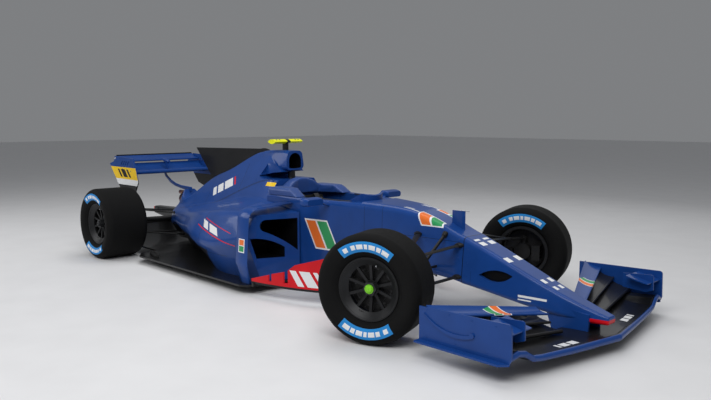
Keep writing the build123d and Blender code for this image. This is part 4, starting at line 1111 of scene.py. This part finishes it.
def fit_tail():
    """Edges of the rear flap and the diffuser, pin caps, lamps, pipes and floor fins."""
    bm = bmesh.new()
    slab(bm, *REAR_FLAP_EDGE)
    finish_piece("rear_flap_edge", bm, matt_carbon, "drs_flap")
    bm = bmesh.new()
    slab(bm, *DIFFUSER_EDGE)
    finish_piece("diffuser_edge", bm, matt_carbon, "chassis")
    bm = bmesh.new()
    for sign in SIDES.values():
        stud(bm, mirrored(sign, FLAP_PIN), (0, sign, 0), *FLAP_PIN_CAP, 16)
    finish_piece("flap_pin_caps", bm, bright_metal, "chassis")
    bm = bmesh.new()
    for row in range(LAMP_ROWS):
        for column in range(LAMP_COLUMNS):
            spot = Vector(FIRST_LAMP) + Vector((0, LAMP_STEP_Y * column, LAMP_STEP_Z * row))
            fit = Matrix.Translation(spot) @ Matrix.Diagonal((0.6, 1, 1, 1))
            bmesh.ops.create_icosphere(bm, subdivisions=2, radius=LAMP_RADIUS, matrix=fit)
    finish_piece("rain_light_lamps", bm, lamp_red, "chassis")
    bm = bmesh.new()
    ring(bm, [(x, 0, EXHAUST_END.z + r) for x, r in EXHAUST_LIP], EXHAUST_AXIS, EXHAUST_END)
    finish_piece("exhaust_lip", bm, hot_pipe, "chassis")
    for side, sign in SIDES.items():
        bm = bmesh.new()
        centre = mirrored(sign, WASTE_PIPE_CENTRE)
        ring(bm, [(x, centre.y, centre.z + r) for x, r in WASTE_PIPE], X, centre, steps=28)
        finish_piece(f"waste_pipe_{side}", bm, hot_pipe, "chassis")
    for side, sign in SIDES.items():
        bm = bmesh.new()
        turn = Matrix.Rotation(-sign * FLOOR_FIN_TURN, 4, "Z")
        for step in range(FLOOR_FIN_COUNT):
            spot = Vector(FIRST_FLOOR_FIN) + step * Vector(FLOOR_FIN_STEP)
            slab(bm, mirrored(sign, spot), FLOOR_FIN_SIZE, 0.0009, turn)
        finish_piece(f"floor_fins_{side}", bm, matt_carbon, "chassis")


SKID_ROWS_X = (0.62, 0.10, -0.45, -1.00, -1.52)
SKID_Y = 0.085
SKID_Z = 0.0488
SKID_SIZE = (0.085, 0.060, 0.003)
SKID_SCREW = (0.008, 0.0018)
SKID_SCREW_X = 0.026
SKID_SCREW_Z = 0.0472
STAY_FOOT = (0.915, 0, 0.074)
STAY_TOP_X = 0.925
STAY_RADIUS = 0.005


def fit_underside():
    """Skid blocks let into the plank, and the stay of the front of the floor."""
    bm = bmesh.new()
    for x in SKID_ROWS_X:
        for y in (-SKID_Y, SKID_Y):
            slab(bm, (x, y, SKID_Z), SKID_SIZE, 0.0008)
            for shift in (-SKID_SCREW_X, SKID_SCREW_X):
                stud(bm, (x + shift, y, SKID_SCREW_Z), DOWN, *SKID_SCREW)
    finish_piece("skid_blocks", bm, bright_metal, "chassis")
    top, _ = seat_on(skin_of("monocoque"), (STAY_TOP_X, 0, 0.08), Z)
    line = [STAY_FOOT, (STAY_TOP_X, 0, top.z + 0.004)]
    pipe("floor_stay", line, STAY_RADIUS, matt_carbon, "chassis", smooth=False)


GLASS_CENTRE = (0.4970, 0.430, 0.716)
GLASS_SIZE = (0.003, 0.157, 0.045)
GLASS_CORNER = 0.015


def fit_mirrors():
    """Glass with round corners on the back of each mirror."""
    for side, sign in SIDES.items():
        bm = bmesh.new()
        fit = Matrix.Translation(mirrored(sign, GLASS_CENTRE)) @ Matrix.Diagonal((*GLASS_SIZE, 1))
        bmesh.ops.create_cube(bm, size=1.0, matrix=fit)
        corners = [e for e in bm.edges if abs(e.verts[0].co.x - e.verts[1].co.x) > 0.001]
        bmesh.ops.bevel(bm, geom=corners, offset=GLASS_CORNER, affect="EDGES", segments=6, profile=0.5,
                        material=-1)
        finish_piece(f"mirror_glass_{side}", bm, mirror_glass, "chassis")


LENS_X = -0.296
LENSES_Y = (0.086, 0.118)
LENS = (0.0085, 0.0024)
PROBE_LINE = [(1.585, 0, 0.7120), (1.618, 0, 0.7125), (1.655, 0, 0.7125)]
PROBE_RADIUS = 0.0032


def fit_camera_windows():
    """Lenses on the wings of the camera pod."""
    skin = skin_of("camera_pod")
    bm = bmesh.new()
    for sign in SIDES.values():
        for y in LENSES_Y:
            spot, normal = seat_on(skin, (LENS_X, sign * y, 2), DOWN)
            stud(bm, spot, normal, *LENS, 20)
    finish_piece("camera_windows", bm, lens_glass, "chassis")


def fit_mast_probe():
    """Pressure probe on the mast ahead of the cockpit."""
    pipe("mast_probe", PROBE_LINE, PROBE_RADIUS, bright_metal, "chassis", smooth=False)


# Cockpit, with lines of the seat in x and z
SEAT_BASE = [(0.555, 0.203), (0.480, 0.190), (0.400, 0.176), (0.300, 0.178), (0.215, 0.209)]
SEAT_BACK = [(0.118, 0.318), (0.080, 0.414), (0.044, 0.504), (0.008, 0.594), (-0.024, 0.672)]
PAD_LIFT = 0.002
PAD_THICKNESS = 0.016
PAD_HALF_WIDTH = 0.146
PAD_VOXEL = 0.006
SWELL_STEPS = 20
HEADREST_SLOPE = ((0.190, 0, 0.712), (0.479, 0, 0.878))
HEADREST_ARMS_X = 0.080
# Belts on the left: the shoulder belt in x and z, drawing in as it falls, and the lap belt
SHOULDER_BELT = [(-0.040, 0.692), (-0.016, 0.706), (0.006, 0.684), (0.040, 0.602), (0.075, 0.514),
                 (0.112, 0.424), (0.152, 0.330), (0.205, 0.262), (0.250, 0.236)]
SHOULDER_Y = 0.078
SHOULDER_Z = 0.70
SHOULDER_DRAW = 0.112
SHOULDER_WIDTH = (0, 0.048, 0)
LAP_BELT = [(0.250, 0.030, 0.234), (0.236, 0.080, 0.236), (0.214, 0.120, 0.246), (0.190, 0.148, 0.270)]
LAP_WIDTH = (0.046, 0, 0.006)
BELT_THICKNESS = 0.0022
BUCKLE_CENTRE = (0.256, 0, 0.240)
BUCKLE_SIZE = (0.064, 0.064, 0.014)
BUCKLE_KNOB_CENTRE = (0.256, 0, 0.249)
BUCKLE_KNOB = (0.024, 0.010)
BUCKLE_TURN = math.radians(-20)
COCKPIT_EDGE = [(0.30, 0.232), (0.57, 0.203), (0.735, 0.122), (0.762, 0.0)]
COCKPIT_EDGE_Z = 0.7135
COCKPIT_EDGE_RADIUS = 0.0045


def pad_form(line):
    """Closed block that follows a line of the seat's surface."""
    low, high = [], []
    for index, here in enumerate(line):
        before, after = line[max(index - 1, 0)], line[min(index + 1, len(line) - 1)]
        run = (Vector(after) - Vector(before)).normalized()
        out = Vector((run.y, -run.x))
        low.append(Vector(here) + out * PAD_LIFT)
        high.append(Vector(here) + out * (PAD_LIFT + PAD_THICKNESS))
    return side_form(low + high[::-1], -PAD_HALF_WIDTH, PAD_HALF_WIDTH)


def swollen(name, bm, pressure, cap):
    """Closed block remeshed finely and swelled by cloth under pressure, moving no point more than a cap."""
    mesh = bpy.data.meshes.new(name)
    bm.to_mesh(mesh)
    bm.free()
    work = bpy.data.objects.new(name + "_form", mesh)
    bpy.context.collection.objects.link(work)
    remesh = work.modifiers.new("even_cells", "REMESH")
    remesh.mode = "VOXEL"
    remesh.voxel_size = PAD_VOXEL
    bpy.context.view_layer.update()
    graph = bpy.context.evaluated_depsgraph_get()
    work.data = bpy.data.meshes.new_from_object(work.evaluated_get(graph))
    work.modifiers.clear()
    start = [v.co.copy() for v in work.data.vertices]
    cloth = work.modifiers.new("swell", "CLOTH")
    cloth.settings.use_pressure = True
    cloth.settings.uniform_pressure_force = pressure
    cloth.settings.effector_weights.gravity = 0.0
    cloth.point_cache.frame_start = 1
    cloth.point_cache.frame_end = SWELL_STEPS
    for step in range(1, SWELL_STEPS + 1):
        bpy.context.scene.frame_set(step)
    graph = bpy.context.evaluated_depsgraph_get()
    work.data = bpy.data.meshes.new_from_object(work.evaluated_get(graph))
    work.modifiers.clear()
    bpy.context.scene.frame_set(1)
    for vertex, before in zip(work.data.vertices, start):
        move = vertex.co - before
        if move.length > cap:
            vertex.co = before + move.normalized() * cap
    result = bmesh.new()
    result.from_mesh(work.data)
    bpy.data.objects.remove(work)
    bmesh.ops.smooth_vert(result, verts=result.verts[:], factor=0.5, use_axis_x=True, use_axis_y=True,
                          use_axis_z=True)
    return result


def soft_piece(name, bm, finish):
    """Makes a padded piece of a swollen form."""
    piece = finish_piece(name, bm, finish, "chassis", 180, recalc=False)
    finer = piece.modifiers.new("round", "SUBSURF")
    finer.levels = finer.render_levels = 1
    return piece


def fit_pads():
    """Headrest and seat pads, swelled as stuffed covers are."""
    bm = copied("headrest")
    trimmed(bm, *HEADREST_SLOPE, HEADREST_ARMS_X)
    bm = swollen("headrest_pad", bm, 3.0, 0.005)
    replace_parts(soft_piece("headrest_pad", bm, pad_skin), "headrest")
    for name, line in (("seat_base_pad", SEAT_BASE), ("seat_back_pad", SEAT_BACK)):
        bm = swollen(name, pad_form(line), 4.0, 0.006)
        soft_piece(name, bm, seat_cloth)


def fit_belts():
    """Shoulder and lap belts lying on the pads, with their buckle."""
    for side, sign in SIDES.items():
        bm = bmesh.new()
        line = [(x, SHOULDER_Y - SHOULDER_DRAW * (SHOULDER_Z - z), z) for x, z in SHOULDER_BELT]
        ribbon(bm, [mirrored(sign, p) for p in line], SHOULDER_WIDTH, BELT_THICKNESS)
        ribbon(bm, [mirrored(sign, p) for p in LAP_BELT], LAP_WIDTH, BELT_THICKNESS)
        finish_piece(f"belts_{side}", bm, belt_web, "chassis")
    bm = bmesh.new()
    turn = Matrix.Rotation(BUCKLE_TURN, 4, "Y")
    slab(bm, BUCKLE_CENTRE, BUCKLE_SIZE, 0.006, turn, 3)
    stud(bm, BUCKLE_KNOB_CENTRE, turn.to_3x3() @ Vector(Z), *BUCKLE_KNOB, 24)
    finish_piece("belt_buckle", bm, dark_metal, "chassis")


def fit_cockpit_edge():
    """Rubber edge round the front of the opening."""
    right = [(x, -y, COCKPIT_EDGE_Z) for x, y in COCKPIT_EDGE]
    left = [(x, y, COCKPIT_EDGE_Z) for x, y in COCKPIT_EDGE[-2::-1]]
    pipe("cockpit_edge", right + left, COCKPIT_EDGE_RADIUS, grip_rubber, "chassis")


COLUMN_TILT = math.radians(14)
HUB = Vector((0.645, 0, 0.622))
# Slabs on the steering wheel's face: centre, size, rounding
SCREEN = ((0, 0.014, 0.0292), (0.092, 0.054, 0.003), 0.0012)
BEZEL = [
    ((0, 0.043, 0.0296), (0.100, 0.004, 0.0042), 0.001),
    ((0, -0.015, 0.0296), (0.100, 0.004, 0.0042), 0.001),
    ((-0.049, 0.014, 0.0296), (0.004, 0.060, 0.0042), 0.001),
    ((0.049, 0.014, 0.0296), (0.004, 0.060, 0.0042), 0.001),
]
PADDLES = [
    # on the driver's right: gear paddle, clutch paddle, their feet
    ((0.086, 0.030, -0.010), (0.060, 0.036, 0.0028), 0.001),
    ((0.086, -0.024, -0.010), (0.052, 0.026, 0.0028), 0.001),
    ((0.074, 0.030, -0.0045), (0.010, 0.012, 0.0120), 0.001),
    ((0.074, -0.024, -0.0045), (0.010, 0.012, 0.0120), 0.001),
]
GRIP_X = 0.112
GRIP_SIZE = (0.0505, 0.120, 0.0368)
GRIP_ROUND = 0.016
GRIP_RIBS_Y = (-0.036, -0.018, 0.0, 0.018, 0.036)
GRIP_RIB_SIZE = (0.032, 0.0045, 0.0022)
# Controls: radius, height, sides of a head
BUTTON = (0.0062, 0.006, 18)
KNOB = (0.0082, 0.012, 10)
SHIFT_LAMP = (0.0026, 0.003, 10)
BUTTONS = {
    "red": (button_red, [(-0.070, 0.046), (0.070, 0.012), (0.036, -0.030)]),
    "yellow": (button_yellow, [(0.070, 0.046), (-0.070, 0.012), (-0.012, -0.030)]),
    "green": (button_green, [(-0.036, -0.030), (0.012, -0.030), (0.070, -0.022), (-0.070, -0.022)]),
}


def on_wheel_face():
    """Turn from the steering wheel's face, x to the driver's right, y up and z to the driver, to the car."""
    up = Vector((math.sin(COLUMN_TILT), 0, math.cos(COLUMN_TILT)))
    back = Vector((-math.cos(COLUMN_TILT), 0, math.sin(COLUMN_TILT)))
    return Matrix.Translation(HUB) @ Matrix((Vector((0, -1, 0)), up, back)).transposed().to_4x4()


def fit_steering_wheel():
    """Screen, bezel, paddles, grips, buttons and knobs, drawn on the wheel's face."""
    face = on_wheel_face()
    body = "steering_wheel"
    bm = bmesh.new()
    slab(bm, *SCREEN)
    bm.transform(face)
    finish_piece("wheel_screen", bm, screen_glass, body)
    bezel = bmesh.new()
    for bar in BEZEL:
        slab(bezel, *bar)
    for sign in SIDES.values():
        for (x, y, z), size, rounding in PADDLES:
            slab(bezel, (sign * x, y, z), size, rounding)
    bezel.transform(face)
    finish_piece("wheel_bezel_and_paddles", bezel, matt_carbon, body)
    grips = bmesh.new()
    for sign in SIDES.values():
        slab(grips, (sign * GRIP_X, 0.004, 0.017), GRIP_SIZE, GRIP_ROUND, segments=5)
        for y in GRIP_RIBS_Y:
            slab(grips, (sign * GRIP_X, y, 0.0352), GRIP_RIB_SIZE, 0.0009)
    grips.transform(face)
    finish_piece("wheel_grips", grips, grip_rubber, body)
    for name, (finish, spots) in BUTTONS.items():
        bm = bmesh.new()
        for x, y in spots:
            stud(bm, (x, y, 0.0305), Z, *BUTTON)
        bm.transform(face)
        finish_piece(f"wheel_buttons_{name}", bm, finish, body)
    knobs = bmesh.new()
    for x in (-0.040, 0.0, 0.040):
        stud(knobs, (x, -0.047, 0.0335), Z, *KNOB)
    for index in range(9):
        stud(knobs, (-0.040 + 0.010 * index, 0.0520, 0.0290), Z, *SHIFT_LAMP)
    knobs.transform(face)
    finish_piece("wheel_knobs", knobs, bright_metal, body)


for fit_part in (fit_fasteners, fit_radiators, fit_louvres, fit_arm_collars, fit_front_wing, fit_tail,
                 fit_underside, fit_mirrors, fit_camera_windows, fit_mast_probe, fit_pads, fit_belts,
                 fit_cockpit_edge, fit_steering_wheel):
    fit_part()


# Stage, light and camera
CAMERA_PLACE = Vector((4.4813, -3.7991, 1.3264))
CAMERA_AZIMUTH = math.radians(45.98)
CAMERA_ELEVATION = math.radians(6.54)
FOCAL_PIXELS = 700.7
IMAGE_WIDTH = 711
SENSOR_WIDTH = 36.0
FLOOR_SIZE = 40.0


def lay_floor():
    bm = bmesh.new()
    bmesh.ops.create_grid(bm, x_segments=1, y_segments=1, size=FLOOR_SIZE)
    mesh = bpy.data.meshes.new("studio_floor")
    bm.to_mesh(mesh)
    bm.free()
    floor = bpy.data.objects.new("studio_floor", mesh)
    bpy.context.collection.objects.link(floor)
    mat, tree, bsdf, coords = new_finish("pale_floor")
    grain = noise(tree, coords, 3.0)
    tone = ramp(tree, grain, (0.3, (0.72, 0.72, 0.73)), (0.7, (0.75, 0.75, 0.76)))
    tree.links.new(tone, bsdf.inputs["Base Color"])
    bsdf.inputs["Roughness"].default_value = 0.6
    mesh.materials.append(mat)


def hang_lamp(name, place, target, size, power):
    lamp = bpy.data.lights.new(name, "AREA")
    lamp.shape = "RECTANGLE"
    lamp.size, lamp.size_y = size
    lamp.energy = power
    holder = bpy.data.objects.new(name, lamp)
    holder.location = place
    holder.rotation_euler = (Vector(target) - Vector(place)).to_track_quat("-Z", "Y").to_euler()
    bpy.context.collection.objects.link(holder)


def set_camera():
    camera = bpy.data.cameras.new("photo_camera")
    camera.sensor_fit = "HORIZONTAL"
    camera.sensor_width = SENSOR_WIDTH
    camera.lens = SENSOR_WIDTH * FOCAL_PIXELS / IMAGE_WIDTH
    holder = bpy.data.objects.new("photo_camera", camera)
    level = math.cos(CAMERA_ELEVATION)
    ahead = Vector((-math.sin(CAMERA_AZIMUTH) * level, math.cos(CAMERA_AZIMUTH) * level,
                    -math.sin(CAMERA_ELEVATION)))
    holder.location = CAMERA_PLACE
    holder.rotation_euler = ahead.to_track_quat("-Z", "Y").to_euler()
    bpy.context.collection.objects.link(holder)
    bpy.context.scene.camera = holder


SOFTBOXES = [
    # name, place, target, size, watts
    ("key_softbox", (3.5, -4.0, 5.0), (0.3, 0, 0.4), (5.0, 3.0), 250),
    ("fill_softbox", (-5.0, -4.5, 3.5), (-0.5, 0, 0.4), (4.0, 3.0), 120),
    ("top_softbox", (-0.5, 0.5, 6.0), (-0.5, 0, 0), (7.0, 3.0), 160),
    ("back_softbox", (0.0, 6.0, 3.5), (0, 0, 0.4), (6.0, 3.0), 30),
]
lay_floor()
for softbox in SOFTBOXES:
    hang_lamp(*softbox)
set_camera()
world = bpy.data.worlds.new("studio_room")
bpy.context.scene.world = world
world.use_nodes = True
background = world.node_tree.nodes["Background"]
background.inputs["Color"].default_value = (0.8, 0.82, 0.85, 1.0)
background.inputs["Strength"].default_value = 0.26
bpy.context.scene.view_settings.view_transform = "Standard"
